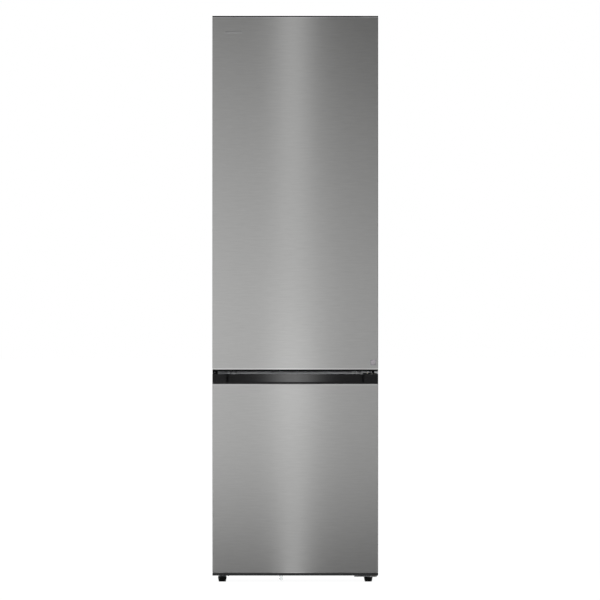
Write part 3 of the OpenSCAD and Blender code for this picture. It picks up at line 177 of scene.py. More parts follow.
def makeBrushedSteel(name, shadeLow, shade):
    # Stainless sheet ground with a belt: fine level lines, so a light smears into an upright streak
    look = steelLook
    rough = look["roughness"]
    material, tree, surface = newMaterial(name, metallic=1.0, roughness=rough,
                                          anisotropic=look["anisotropy"])
    lines = grainNoise(tree, (look["lineLengthMm"], look["lineLengthMm"], look["lineMm"]), 4.0, 0.7)
    patches = grainNoise(tree, (look["patchLengthMm"], look["patchLengthMm"], look["patchMm"]), 3.0, 0.6)
    both = addNode(tree, "ShaderNodeMath", {0: lines, 1: patches}, operation="ADD")
    finishFrom(tree, surface, (both.outputs[0], 0.62, 1.38, shadeLow, shade),
               (patches, 0.3, 0.7, rough - 0.02, rough + 0.03), (lines, 0.01, 0.3))
    upright = addNode(tree, "ShaderNodeCombineXYZ", {"X": 0.0, "Y": 0.0, "Z": 1.0})
    tree.links.new(upright.outputs[0], surface.inputs["Tangent"])
    return material


def makePaintedSheet(name, shadeLow, shade, metallic, roughness):
    # Silver-grey polyester powder paint on sheet steel: a faint orange peel under a satin gloss
    material, tree, surface = newMaterial(name, metallic=metallic, roughness=roughness)
    flake, peel = grainNoise(tree, 1.2, 2.0), grainNoise(tree, 2.6, 1.0)
    finishFrom(tree, surface, (flake, 0.3, 0.7, shadeLow, shade), None, (peel, 0.05, 0.6))
    return material


def makeGalvanised(name):
    # Hot-dip zinc on steel: dull crystals about 6 mm across, each at its own brightness
    material, tree, surface = newMaterial(name, metallic=1.0, roughness=0.48)
    shade = addNode(tree, "ShaderNodeSeparateColor", {0: cellPattern(tree, 6.0).outputs["Color"]})
    finishFrom(tree, surface, (shade.outputs[0], 0.0, 1.0, "#b0b4b6", "#c0c4c6"),
               (shade.outputs[1], 0.0, 1.0, 0.4, 0.56))
    return material


def makePlatedSteel(name, shadeLow, shade, roughness):
    # Pressed steel with a thin plated or passivated skin, cloudy where it was handled
    material, tree, surface = newMaterial(name, metallic=1.0, roughness=roughness)
    cloud, grit = grainNoise(tree, 14.0, 4.0), grainNoise(tree, 0.7, 2.0)
    finishFrom(tree, surface, (cloud, 0.3, 0.7, shadeLow, shade),
               (cloud, 0.3, 0.7, roughness - 0.06, roughness + 0.08), (grit, 0.02, 0.5))
    return material


def makeMoulded(name, shadeLow, shade, roughness, grainMm, depthMm, specular=0.5):
    # Injection-moulded plastic: an even colour with a spark-eroded grain of a real size
    material, tree, surface = newMaterial(name, roughness=roughness, specularIorLevel=specular)
    grain = grainNoise(tree, grainMm, 2.0)
    cloud = grainNoise(tree, 60.0, 2.0)
    finishFrom(tree, surface, (cloud, 0.3, 0.7, shadeLow, shade),
               (grain, 0.3, 0.7, roughness - 0.04, roughness + 0.04), (grain, depthMm, 0.5))
    return material


def makeFoam(name):
    # Polyurethane foam blown in place: pale yellow, with a skin of small closed cells
    material, tree, surface = newMaterial(name, roughness=0.9)
    depth = cellPattern(tree, 2.2).outputs["Distance"]
    finishFrom(tree, surface, (depth, 0.0, 1.0, "#f2e4bd", "#d8c48d"), None, (depth, 0.5, 0.7))
    return material


def makeRubber(name):
    # Extruded soft PVC of a magnetic seal: matt, with die lines too fine to see
    material, tree, surface = newMaterial(name, roughness=0.62, specularIorLevel=0.35)
    dust = grainNoise(tree, 9.0, 4.0)
    finishFrom(tree, surface, (dust, 0.3, 0.7, "#8d8f91", "#9b9da0"), None, (dust, 0.04, 0.4))
    return material


def makeEnamel(name):
    # Black stoving enamel over a drawn steel can: glossy, with a slight orange peel
    material, tree, surface = newMaterial(name, roughness=0.24, coatWeight=0.5, coatRoughness=0.12)
    peel = grainNoise(tree, 3.0, 2.0)
    finishFrom(tree, surface, (peel, 0.0, 1.0, "#121313", "#232425"), None, (peel, 0.06, 0.6))
    return material


def makeCopper(name):
    # Drawn copper tube: warm metal with brown oxide in patches
    material, tree, surface = newMaterial(name, metallic=1.0, roughness=0.32)
    oxide = grainNoise(tree, (22.0, 22.0, 30.0), 4.0)
    finishFrom(tree, surface, (oxide, 0.4, 0.7, "#d08a63", "#8a5a42"), (oxide, 0.3, 0.7, 0.24, 0.5))
    return material


def makeGlass(name):
    # Toughened float glass: clear, with a faint green from its iron
    material, tree, surface = newMaterial(name, transmissionWeight=1.0, ior=1.5, alpha=0.4)
    smear = grainNoise(tree, 70.0, 3.0)
    finishFrom(tree, surface, (smear, 0.0, 1.0, "#eef8f3", "#f4fbf8"), (smear, 0.4, 0.7, 0.0, 0.03))
    return material


def makeClearPlastic(name):
    # Clear styrene moulding: nearly water-white, a little hazy where the tool was textured
    material, tree, surface = newMaterial(name, transmissionWeight=0.9, ior=1.3, alpha=0.5)
    haze = grainNoise(tree, 40.0, 3.0)
    finishFrom(tree, surface, (haze, 0.0, 1.0, "#f6fafb", "#fcfdfe"), (haze, 0.3, 0.7, 0.05, 0.16))
    return material


def makeHose(name):
    # Clear soft PVC hose: white through its middle, its edges darkened in the base colour by how squarely
    # they face the view: painted shade for the light a round hose bends away
    material, tree, surface = newMaterial(name, transmissionWeight=0.95, ior=1.3, roughness=0.04,
                                          alpha=0.6)
    haze = grainNoise(tree, (20.0, 20.0, 50.0), 2.0)
    clear = addNode(tree, "ShaderNodeMix", {
        0: haze, 6: linearColour("#eef2f2"), 7: linearColour("#f8fafa")}, data_type="RGBA")
    # Facing drives the base colour toward near black at the edges: painted shade
    facing = addNode(tree, "ShaderNodeLayerWeight", {"Blend": 0.5})
    edge = addNode(tree, "ShaderNodeMapRange", {
        "Value": facing.outputs["Facing"], "From Min": 0.45, "From Max": 0.8})
    tint = addNode(tree, "ShaderNodeMix", {
        0: edge.outputs[0], 6: clear.outputs[2], 7: linearColour("#1c2022")}, data_type="RGBA")
    tree.links.new(tint.outputs[2], surface.inputs["Base Color"])
    return material


def makeOpal(name):
    # Opal polycarbonate of a lamp cover: milky, and light goes through it softly
    material, tree, surface = newMaterial(name, roughness=0.35, transmissionWeight=0.35, ior=1.58)
    prism = grainNoise(tree, 2.0, 1.0)
    finishFrom(tree, surface, (prism, 0.0, 1.0, "#f4f3ea", "#fbfaf4"), None, (prism, 0.08, 0.5))
    return material


materialOfSlot = {
    "brushed_steel": makeBrushedSteel("brushedStainlessSheet", steelLook["shadeLow"],
                                      steelLook["shade"]),
    "painted_shell": makePaintedSheet("powderPaintedSheet", "#bcbec0", "#c6c8ca", 0.35, 0.42),
    "galvanised_sheet": makeGalvanised("galvanisedSheet"),
    "hinge_steel": makePlatedSteel("zincPlatedPressing", "#b9bbbd", "#d3d4d5", 0.3),
    "dark_hinge_steel": makePlatedSteel("blackPassivatedPressing", "#55575a", "#6d6f72", 0.4),
    "foam": makeFoam("polyurethaneFoam"),
    "white_liner": makeMoulded("whiteStyreneSheet", "#eef0f0", "#f5f6f6", 0.32, 1.5, 0.02),
    "dark_gloss_plastic": makeMoulded("glossBlackStyrene", "#0c0c0d", "#101011", 0.1, 2.0, 0.002, 0.5),
    "black_plastic": makeMoulded("blackPolypropylene", "#131314", "#191919", 0.5, 0.9, 0.03),
    "grey_plastic": makeMoulded("greyPolypropylene", "#8b8d8f", "#95979a", 0.5, 0.9, 0.03),
    "bush_plastic": makeMoulded("ivoryAcetal", "#e6e1d0", "#efeadb", 0.4, 0.8, 0.01),
    "white_tube": makeHose("clearSoftHose"),
    "grey_rubber": makeRubber("softMagneticSeal"),
    "black_enamel": makeEnamel("blackStovingEnamel"),
    "copper_pipe": makeCopper("drawnCopper"),
    "shelf_glass": makeGlass("toughenedGlass"),
    "chrome_wire": makePlatedSteel("chromedWire", "#d6d8da", "#e6e7e8", 0.12),
    "lamp_diffuser": makeOpal("opalPolycarbonate"),
    "clear_plastic": makeClearPlastic("clearStyrene"),
}
# A lighter copy of the door steel for its hems: painted highlight along the bottom hems and the fridge's top
# hem
hemPaintedHighlight = makeBrushedSteel("brightRolledHem", steelLook["hemShadeLow"], steelLook["hemShade"])
# A lighter, rougher copy of the steel for the freezer's top hem: painted sheen
hemPaintedSheen = makePlatedSteel("satinRolledHem", "#cfcfce", "#d5d5d4", 0.5)
railPaint = makePaintedSheet("silverRailPaint", "#bcbec0", "#c4c6c8", 0.0, 0.55)
capPlastic = makeMoulded("mattBlackPolypropylene", "#0b0b0c", "#0f0f10", 0.6, 0.9, 0.03, 0.12)
toePlastic = makeMoulded("darkGreyPolypropylene", "#2b2b2c", "#303031", 0.6, 0.9, 0.03, 0.12)
hingePaint = makePaintedSheet("silverHingePaint", "#c8cacb", "#d4d6d7", 0.35, 0.4)
footPlastic = makeMoulded("blackNylonFoot", "#040404", "#070707", 0.6, 0.9, 0.02, 0.08)
# Near-black and dull: painted shade, for the strip under the fridge door's bottom edge
paintedShadowStrip = makeMoulded("blackFoamStrip", "#060606", "#0a0a0a", 0.8, 1.2, 0.05, 0.1)
# Near-black and glossy: painted shadow of the groove under the grip band, on the grip rail's lip
shadowLip = makeMoulded("blackStyreneLip", "#030303", "#050505", 0.1, 2.0, 0.002, 0.25)
print("materials made")


# Small helpers for meshes

def gridFaces(rows, columns, wrapRows=False, wrapColumns=False):
    # Quads between the neighbours of a grid of points, closed round where asked
    r, c = np.meshgrid(np.arange(rows if wrapRows else rows - 1),
                       np.arange(columns if wrapColumns else columns - 1), indexing="ij")
    r1, c1 = (r + 1) % rows, (c + 1) % columns
    return np.stack([r * columns + c, r * columns + c1, r1 * columns + c1, r1 * columns + c],
                    -1).reshape(-1, 4)


def capped(points):
    # Rows of closed loops, with a face over the first and the last
    return points, False, True, True


def ringed(points):
    # Rows of closed loops, with the last joined to the first
    return points, True, True, False


def solidFromGrids(name, grids, creaseDegrees=35):
    # Each grid is (points[rows, columns, 3], wrapRows, wrapColumns, capRows); together one mesh
    corners, faces, offset = [], [], 0
    for points, wrapRows, wrapColumns, capRows in grids:
        rows, columns = points.shape[:2]
        faces += (gridFaces(rows, columns, wrapRows, wrapColumns) + offset).tolist()
        if capRows:
            faces.append([offset + c for c in range(columns)])
            faces.append([offset + (rows - 1) * columns + c for c in range(columns)])
        corners.append(points.reshape(-1, 3))
        offset += rows * columns
    mesh = bpy.data.meshes.new(name)
    mesh.from_pydata(np.concatenate(corners).tolist(), [], faces)
    tidyMesh(mesh, creaseDegrees)
    return mesh


def tidyMesh(mesh, creaseDegrees):
    # Merges doubles, turns the faces outward and keeps real edges sharp
    built = bmesh.new()
    built.from_mesh(mesh)
    bmesh.ops.remove_doubles(built, verts=built.verts, dist=1e-6)
    bmesh.ops.dissolve_degenerate(built, edges=built.edges, dist=1e-7)
    bmesh.ops.recalc_face_normals(built, faces=built.faces)
    built.to_mesh(mesh)
    built.free()
    mesh.shade_smooth()
    mesh.set_sharp_from_angle(angle=math.radians(creaseDegrees))


def putPiece(name, mesh, standsFor, material=None, body=None, slot=None):
    # Rides on the body of the node it stands for, or on a body given by name
    piece = bpy.data.objects.new(name, mesh)
    bpy.context.scene.collection.objects.link(piece)
    first = standsFor[0] if standsFor else None
    slot = slot or slotOf[first]
    mesh.materials.append(material or materialOfSlot[slot])
    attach(piece, body or nodes[first]["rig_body"])
    if standsFor:
        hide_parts(*standsFor)
    return piece


def dressNode(node, suffix, edgeMm, material, creaseDegrees=35):
    # A merged copy of a CAD node whose edges get the radius that its making leaves
    mesh = nodes[node].data.copy()
    mesh.materials.clear()
    built = bmesh.new()
    built.from_mesh(mesh)
    bmesh.ops.remove_doubles(built, verts=built.verts, dist=2e-6)
    bmesh.ops.dissolve_limit(built, angle_limit=math.radians(0.5), verts=built.verts, edges=built.edges)
    built.to_mesh(mesh)
    built.free()
    mesh.shade_smooth()
    mesh.set_sharp_from_angle(angle=math.radians(creaseDegrees))
    piece = putPiece(node + suffix, mesh, [node], material)
    bevel = piece.modifiers.new("softEdges", "BEVEL")
    bevel.width = edgeMm * mm
    bevel.segments = 2
    bevel.limit_method = "ANGLE"
    bevel.angle_limit = math.radians(creaseDegrees)
    piece.modifiers.new("flatFaces", "WEIGHTED_NORMAL").keep_sharp = True


def boxMm(node):
    # Lowest and highest corner of a CAD node at rest, in millimetres
    return [np.array(corner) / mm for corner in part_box(node)]


def arcTurn(start, end, count):
    return np.linspace(math.radians(start), math.radians(end), count)


# Folded steel fronts

doorSheet = {
    "cornerMm": 4.0, "cornerSteps": 10,      # upright front edges
    "foldMm": 13.0, "foldCornerMm": 1.2,
    "hemRadiusMm": 0.8, "rollSteps": 7,      # end of the bead along top and bottom
    "hemMm": 8.0, "thickMm": 0.9, "setBackMm": 0.35,
}


def doorOutline(low, high):
    # Plan of the sheet, from one back fold round the front to the other: x, y and how much rolls
    s = doorSheet
    r, fr = s["cornerMm"] * mm, s["foldCornerMm"] * mm
    halfWidth, front, back = high[0], low[1] + s["setBackMm"] * mm, high[1]
    turn = arcTurn(0, 90, s["cornerSteps"])
    foldTurn = arcTurn(0, 90, 4)
    foldEnd = np.array([[halfWidth - s["foldMm"] * mm, back, 0]])
    foldArc = np.stack([halfWidth - fr + fr * np.sin(foldTurn), back - fr + fr * np.cos(foldTurn),
                        np.zeros(4)], 1)
    frontArc = np.stack([halfWidth - r + r * np.cos(turn), front + r - r * np.sin(turn),
                         np.sin(turn)], 1)
    support = np.array([[halfWidth - r - 1 * mm, front, 1]])
    right = np.concatenate([foldEnd, foldArc, frontArc, support])
    left = right[::-1] * np.array([-1, 1, 1])
    return np.concatenate([right, left])


def hemProfile(heightMm, leanDegrees):
    # Height above the flat face and inward depth of a rolled hem: a shallow bead whose slope grows
    # evenly, then a quarter turn into the fold
    s = doorSheet
    r, lean = s["hemRadiusMm"], math.radians(leanDegrees)
    share = np.linspace(0, 1, 6)
    rise = (heightMm - r * (1 - math.sin(lean))) * share
    depth = rise[-1] * math.tan(lean) * share ** 2 / 2
    turn = np.linspace(lean, math.pi / 2, s["rollSteps"])[1:]
    endRise = rise[-1] + r * (np.sin(turn) - math.sin(lean))
    endDepth = depth[-1] + r * (math.cos(lean) - np.cos(turn))
    return np.stack([np.append(rise, endRise), np.append(depth, endDepth)], 1) * mm


def doorProfile(bottom, top, bottomHem, topHem):
    # Height and inward depth of the front, from the bottom hem's end up to the top hem's end
    hem = doorSheet["hemMm"] * mm
    up, down = hemProfile(*topHem), hemProfile(*bottomHem)
    up[:, 0] += top - up[-1, 0]
    down[:, 0] = bottom + down[-1, 0] - down[:, 0]
    supports = np.array([[down[0, 0] + 1 * mm, 0], [up[0, 0] - 1 * mm, 0]])
    return np.concatenate([[[bottom, hem]], down[::-1], supports, up, [[top, hem]]])


def makeDoorFront(node, bottomHem, topHem, topHemHighlight, shortMm=0.0):
    # Surface of two parameters: a point of the plan outline, raised to a height, with the front
    # and its corners drawn inward by the hem's depth there. A hem is (height, lean in degrees), and
    # shortMm lowers the top edge under the strip that lies on it.
    low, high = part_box(node)
    high[2] -= shortMm * mm
    outline = doorOutline(low, high)
    profile = doorProfile(low[2], high[2], bottomHem, topHem)
    x = np.broadcast_to(outline[None, :, 0], (len(profile), len(outline)))
    y = outline[None, :, 1] + profile[:, 1:2] * outline[None, :, 2]
    z = np.broadcast_to(profile[:, 0:1], x.shape)
    mesh = bpy.data.meshes.new(node + "_sheet")
    faces = gridFaces(len(profile), len(outline))
    mesh.from_pydata(np.stack([x, y, z], -1).reshape(-1, 3).tolist(), [], faces.tolist())
    tidyMesh(mesh, 40)
    if max(mesh.polygons, key=lambda polygon: polygon.area).normal[1] > 0:
        mesh.flip_normals()          # an open sheet has no inside of its own
    piece = putPiece(node + "_sheet", mesh, [node])
    # The bottom hem takes the lighter steel and the top hem the given lighter copy: painted highlight along
    # both hems
    mesh.materials.append(hemPaintedHighlight)
    mesh.materials.append(topHemHighlight)
    heights = np.array([polygon.center[2] for polygon in mesh.polygons])
    hemHighlightIndex = (heights < low[2] + bottomHem[0] * mm) + 2 * (heights > high[2] - topHem[0] * mm)
    mesh.polygons.foreach_set("material_index", hemHighlightIndex.astype(np.int32))
    wall = piece.modifiers.new("sheetThickness", "SOLIDIFY")
    wall.thickness = doorSheet["thickMm"] * mm
    wall.offset = -1


# Hems in lighter copies of the steel: painted highlight and sheen
makeDoorFront("fridge_door_skin", (6.0, 16.0), (3.4, 6.0), hemPaintedHighlight)
makeDoorFront("freezer_door_skin", (4.0, 20.0), (5.2, 12.0), hemPaintedSheen, shortMm=1.9)
print("steel fronts made")


# Black strips along a door's front edge: a near-black strip under the fridge door that paints the shade
# there, the lip of the grip rail, whose near-black paints the shadow of the groove under the grip band, and
# the lip of the lower cap

edgeStrips = {
    # door front it follows, top in millimetres, height, depth, inset, radius of its edges
    # this strip's near-black is painted shade under the fridge door
    "fridge_door_drip_strip": ("fridge_door_skin", 761.0, 5.8, 9.0, 0.5, 0.4),
    # this lip's near-black is the painted shadow of the groove under the grip band
    "freezer_grip_lip": ("freezer_door_skin", 716.8, 6.5, 6.0, 0.15, 0.3),
    "freezer_door_toe_lip": ("freezer_door_skin", 31.4, 8.8, 6.0, 0.45, 0.3),
}


def makeEdgeStrip(name, material):
    # A small section carried round the door's front: straight, with its corners rounded
    node, top, h, d, inset, e = edgeStrips[name]
    low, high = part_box(node)
    x, y, z = high[0] - inset * mm, low[1] + inset * mm, top * mm
    section = np.array([[0, -e], [0.3 * e, -0.3 * e], [e, 0], [d - e, 0], [d, -e], [d, e - h], [d - e, -h],
                        [e, -h], [0.3 * e, 0.3 * e - h], [0, e - h]]) * mm
    turn = arcTurn(0, 90, 7)
    r = doorSheet["cornerMm"] * mm
    right = np.concatenate([[[x, y + 2.5 * r]], np.stack([x - r + r * np.cos(turn),
                                                          y + r - r * np.sin(turn)], 1)])
    path = np.concatenate([right, right[::-1] * [-1, 1]])
    outward = np.concatenate([[[1, 0]], np.stack([np.cos(turn), -np.sin(turn)], 1)])
    outward = np.concatenate([outward, outward[::-1] * [-1, 1]])
    flat = path[:, None, :] - outward[:, None, :] * section[None, :, 0:1]
    heights = np.broadcast_to(z + section[None, :, 1:2], flat.shape[:2] + (1,))
    mesh = solidFromGrids(name, [capped(np.concatenate([flat, heights], -1))])
    putPiece(name, mesh, [], material, nodes[node]["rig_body"], "black_plastic")


# Near-black strip that paints the shade under the fridge door
makeEdgeStrip("fridge_door_drip_strip", paintedShadowStrip)
# Grip lip in near-black that paints the groove's shadow
makeEdgeStrip("freezer_grip_lip", shadowLip)
makeEdgeStrip("freezer_door_toe_lip", toePlastic)


# Shapes made of a rounded rectangle that is drawn in and moved along, row by row

def roundLoop(half, radii, steps=7):
    # Points round a rectangle, counter-clockwise from its first quarter, each corner with a radius
    points = []
    for k, (sx, sy) in enumerate(((1, 1), (-1, 1), (-1, -1), (1, -1))):
        r = min(radii[k], half[0], half[1])
        turn = arcTurn(90 * k, 90 * k + 90, steps)
        points.append(np.stack([sx * (half[0] - r) + r * np.cos(turn),
                                sy * (half[1] - r) + r * np.sin(turn)], 1))
    return np.concatenate(points)


def loopStack(low, high, axis, cornersMm, profile):
    # Surface of two parameters: the rectangle between two corners, drawn in by a row's inset and
    # set at its height along the axis; the profile's rows are (inset, height), all in millimetres
    low, high = np.array(low, float), np.array(high, float)
    u, v = [(1, 2), (2, 0), (0, 1)][axis]
    middle, half = (low + high) / 2, (high - low) / 2
    rows = []
    for inset, height in profile:
        radii = [max(c - inset, 0.15) for c in np.broadcast_to(cornersMm, 4)]
        loop = roundLoop((half[u] - inset, half[v] - inset), radii)
        points = np.zeros((len(loop), 3))
        points[:, u] = middle[u] + loop[:, 0]
        points[:, v] = middle[v] + loop[:, 1]
        points[:, axis] = low[axis] + height
        rows.append(points)
    return np.array(rows) * mm


def slabProfile(heightMm, edgeMm):
    # Inset and height of a plate whose two rims are rounded
    turn = arcTurn(0, 90, 4)
    start = np.stack([edgeMm * (1 - np.sin(turn)), edgeMm * (1 - np.cos(turn))], 1)
    return np.concatenate([start, start[::-1] * [1, -1] + [0, heightMm]])


def slabGrid(low, high, axis, cornersMm, edgeMm):
    # A plate between two corners, with round corners seen along the axis and rounded rims
    return capped(loopStack(low, high, axis, cornersMm, slabProfile(high[axis] - low[axis], edgeMm)))


def trayProfile(heightMm, wallMm, lowerMm, draftMm):
    # Up the outside from a round lower edge, over a round rim and down the inside to the floor
    turn, rim = arcTurn(0, 90, 6), arcTurn(0, 180, 7)
    bend = np.stack([1 - np.sin(turn), 1 - np.cos(turn)], 1)
    outside = lowerMm * bend
    half = wallMm / 2
    over = np.stack([half * (1 - np.cos(rim)), heightMm - half + half * np.sin(rim)], 1)
    inside = (wallMm + (lowerMm - wallMm) * bend)[::-1]
    rows = np.concatenate([outside, over, inside])
    rows[:, 0] += draftMm * (1 - rows[:, 1] / heightMm)
    return rows


def turned(profileMm, centreMm, axis, steps=48, ripple=None):
    # Radius and height rows turned about an axis through the centre; a ripple may change the
    # radius with the angle and the height
    profile = np.array(profileMm, float)
    u, v = [(1, 2), (2, 0), (0, 1)][axis]
    turn = np.linspace(0, 2 * math.pi, steps, endpoint=False)
    radius = np.broadcast_to(profile[:, 0:1], (len(profile), steps))
    if ripple:
        radius = radius + ripple(turn[None, :], profile[:, 1:2])
    points = np.zeros((len(profile), steps, 3))
    points[..., u] = (centreMm[u] + radius * np.cos(turn)) * mm
    points[..., v] = (centreMm[v] + radius * np.sin(turn)) * mm
    points[..., axis] = (centreMm[axis] + profile[:, 1:2]) * mm
    return points


def tubeAlong(pathMm, radiiMm, planeNormal, steps=14):
    # A round section carried along a path that lies in one plane
    path = np.array(pathMm, float)
    ahead = np.gradient(path, axis=0)
    ahead /= np.linalg.norm(ahead, axis=1, keepdims=True)
    across = np.cross(ahead, planeNormal)[:, None]
    upright = np.array(planeNormal, float)[None, None]
    turn = np.linspace(0, 2 * math.pi, steps, endpoint=False)[None, :, None]
    radii = np.broadcast_to(radiiMm, len(path))[:, None, None]
    return (path[:, None] + radii * (across * np.cos(turn) + upright * np.sin(turn))) * mm


def roundEnds(pathMm, radiusMm):
    # Adds a half-round end to both ends of a path and gives the radius along it
    path = np.array(pathMm, float)
    turn = arcTurn(10, 90, 5)[:-1]
    ahead = (path[1] - path[0]) / np.linalg.norm(path[1] - path[0])
    back = (path[-2] - path[-1]) / np.linalg.norm(path[-2] - path[-1])
    step = (radiusMm * (1 - np.cos(turn)))[:, None]
    first, last = path[0] + ahead * step, (path[-1] + back * step)[::-1]
    path[0] += ahead * radiusMm
    path[-1] += back * radiusMm
    ends = radiusMm * np.sin(turn)
    radii = np.concatenate([ends, np.full(len(path), radiusMm), ends[::-1]])
    return np.concatenate([first, path, last]), radii


def putGrids(name, node, grids, material=None, slot=None, stands=True, crease=35):
    # One piece on the body of a node, standing for it or added to it
    mesh = solidFromGrids(name, grids, crease)
    slot = slot or slotOf[node]
    return putPiece(name, mesh, [node] if stands else [], material or materialOfSlot[slot],
                    nodes[node]["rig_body"], slot)


# Magnetic seals: a flat foot, a bellows fold and the chamber of the magnet

seal = {
    "cornerMm": 8.0, "widthMm": 18.0,
    "halfSection": [[0.6, 0.0], [0.0, 0.7], [0.0, 3.3], [0.7, 4.0], [4.0, 4.1], [5.0, 4.7], [5.1, 5.4],
                    [4.2, 6.1], [3.3, 6.8], [3.0, 7.7], [3.0, 10.6], [3.5, 11.4], [4.4, 11.7]],
}


def makeSeal(node):
    # Half of the section and its mirror image, carried round the door
    half = np.array(seal["halfSection"])
    section = np.concatenate([half, (half * [-1, 1] + [seal["widthMm"], 0])[::-1]])
    points = loopStack(*boxMm(node), 1, seal["cornerMm"], section)
    putGrids(node + "_bellows", node, [ringed(points)], crease=50)


makeSeal("fridge_door_gasket")
makeSeal("freezer_door_gasket")


# Levelling feet with a fluted grip and a threaded stud, and the left one's dark bracket

foot = {
    "profile": [[0.3, 0.0], [11.8, 0.0], [12.6, 0.5], [13.0, 1.6], [15.3, 12.4], [15.75, 14.2],
                [15.75, 15.2], [14.6, 16.6], [13.4, 17.0], [4.0, 17.0]],
    "flutes": 16, "fluteMm": 0.7, "fluteLowMm": 1.6, "fluteTopMm": 14.2, "fluteFadeMm": 2.0,
    "studMm": 4.7, "studLowMm": 16.5, "threadMm": 0.3, "pitchMm": 1.5,
}


def footRipple(turn, height):
    # Flutes: the radius falls by their depth at even angles, only on the cone's flank
    inside = np.minimum(height - foot["fluteLowMm"], foot["fluteTopMm"] - height)
    share = np.clip(inside / foot["fluteFadeMm"], 0, 1)
    return -foot["fluteMm"] * share * (0.5 + 0.5 * np.cos(foot["flutes"] * turn)) ** 2


def makeFoot(node):
    # The fluted moulding, and a stud whose thread is a ripple of its radius
    low, high = boxMm(node)
    centre = [(low[0] + high[0]) / 2, (low[1] + high[1]) / 2, 0]
    rows = []
    for (r0, z0), (r1, z1) in zip(foot["profile"][:-1], foot["profile"][1:]):
        share = np.linspace(0, 1, 6 if z1 - z0 > 5 else 2)[:-1, None]
        rows.append(np.array([[r0, z0]]) * (1 - share) + np.array([[r1, z1]]) * share)
    rows.append([foot["profile"][-1]])
    body = turned(np.concatenate(rows), centre, 2, 96, footRipple)
    putGrids(node + "_moulding", node, [capped(body)], footPlastic)
    z = np.arange(foot["studLowMm"], high[2] - 0.5, foot["pitchMm"] / 6)

    def thread(turn, height):
        # A helix: the crest climbs by one pitch in a turn
        return foot["threadMm"] * np.cos(2 * math.pi * height / foot["pitchMm"] - turn)

    stud = turned(np.stack([np.full_like(z, foot["studMm"]), z], 1), centre, 2, 32, thread)
    putGrids(node + "_stud", node, [capped(stud)], slot="hinge_steel", stands=False, crease=60)


leftBracket = {
    "stud": (-262.0, -223.5), "sheetMm": 3.0, "highMm": 12.0, "flangeLowMm": 7.0,
    "nose": (15.2, 14.5), "noseCornersMm": (14.0, 14.0, 2.0, 2.0),     # half width, reach past the stud
    "neck": (-10.5, 11.5), "tab": (18.5, 24.8), "tabLowMm": 2.8,       # left and right of the stud
    "collar": [[5.4, 1], [9, 1], [9, 6.2], [8.4, 7.2], [5.4, 7.2]],
}


def makeLeftBracket():
    # Round-nosed plate under the pan, a neck up to the flange, a small tab and the stud's collar
    node, b = "left_foot_bracket", leftBracket
    low, high = boxMm(node)
    x, y = b["stud"]
    front, base = low[1:]
    wall, top = front + b["sheetMm"], base + b["highMm"]
    half, reach = b["nose"]
    grids = [slabGrid(*block) for block in (
        ((x - half, front, base), (x + half, y + reach, base + b["sheetMm"]), 2, b["noseCornersMm"], 0.5),
        ((x + b["neck"][0], front, base), (x + b["neck"][1], wall, top), 1, 1.0, 0.4),
        ((low[0], front, base + b["flangeLowMm"]), (high[0], wall, high[2]), 1, 2.5, 0.4),
        ((x + b["tab"][0], front, base + b["tabLowMm"]), (x + b["tab"][1], wall, top), 1, 1.2, 0.4),
    )]
    grids.append(ringed(turned(b["collar"], (x, y, base), 2)))
    putGrids(node + "_pressing", node, grids, slot="dark_hinge_steel")


for side in ("left", "right"):
    makeFoot(side + "_foot")
makeLeftBracket()


# Rear rollers: a round tread, dished hubs

rollerSection = [[3.3, 0.5], [6.5, 0.5], [7.6, 2.5], [11, 2.5], [12, 0.5], [13.2, 0], [14.6, 0.9],
                 [15, 2.6], [15, 15.4], [14.6, 17.1], [13.2, 18], [12, 17.5], [11, 15.5], [7.6, 15.5],
                 [6.5, 17.5], [3.3, 17.5]]
for side in ("left", "right"):
    low, high = boxMm(side + "_roller")
    middle = [low[0], (low[1] + high[1]) / 2, (low[2] + high[2]) / 2]
    putGrids(side + "_roller_wheel", side + "_roller", [ringed(turned(rollerSection, middle, 0, 64))],
             crease=40)
print("seals, feet and rollers made")


# Screw heads with a star socket

screwHead = {"radiusMm": 4.5, "heightMm": 2.5, "socketMm": 2.2, "lobeMm": 0.45, "deepMm": 1.5}
screwPlaces = {
    # axis along which the head points, its sign, and the head's seat in millimetres
    "top": (2, 1, [(283, -231.5, 2012.5), (257, -231.5, 2012.5), (231, -231.5, 2012.5)]),
    "front": (1, -1, [(212.5, -260.5, 753.25), (230.5, -260.5, 753.25), (220.5, -260.5, 32),
                      (284, -260.5, 32), (-245, -260.5, 32), (-272, -260.5, 32)]),
}


def screwGrid(centreMm, axis, sign):
    # Domed head: out along the dome, then down a six-lobed socket to its flat floor
    s = screwHead
    radius, top, bore = s["radiusMm"], s["heightMm"], s["socketMm"]
    share = np.linspace(0, 1, 6)
    dome = np.stack([radius * (1 - 0.42 * share), top * (1 - (1 - share) ** 2.5)], 1)
    socket = [[bore + 0.25, top], [bore, top - 0.25], [bore, top - s["deepMm"]]]
    profile = np.concatenate([[[radius, -0.2]], dome, socket]) * [1, sign]

    def lobes(turn, height):
        deep = np.zeros((len(profile), 1))
        deep[-2:] = 1
        return s["lobeMm"] * deep * np.cos(6 * turn)

    return capped(turned(profile, centreMm, axis, 48, lobes))


putGrids("hinge_screws_heads", "hinge_screws", [
    screwGrid(place, axis, sign) for axis, sign, places in screwPlaces.values() for place in places])


# Small parts that show in the gap between the doors, in millimetres

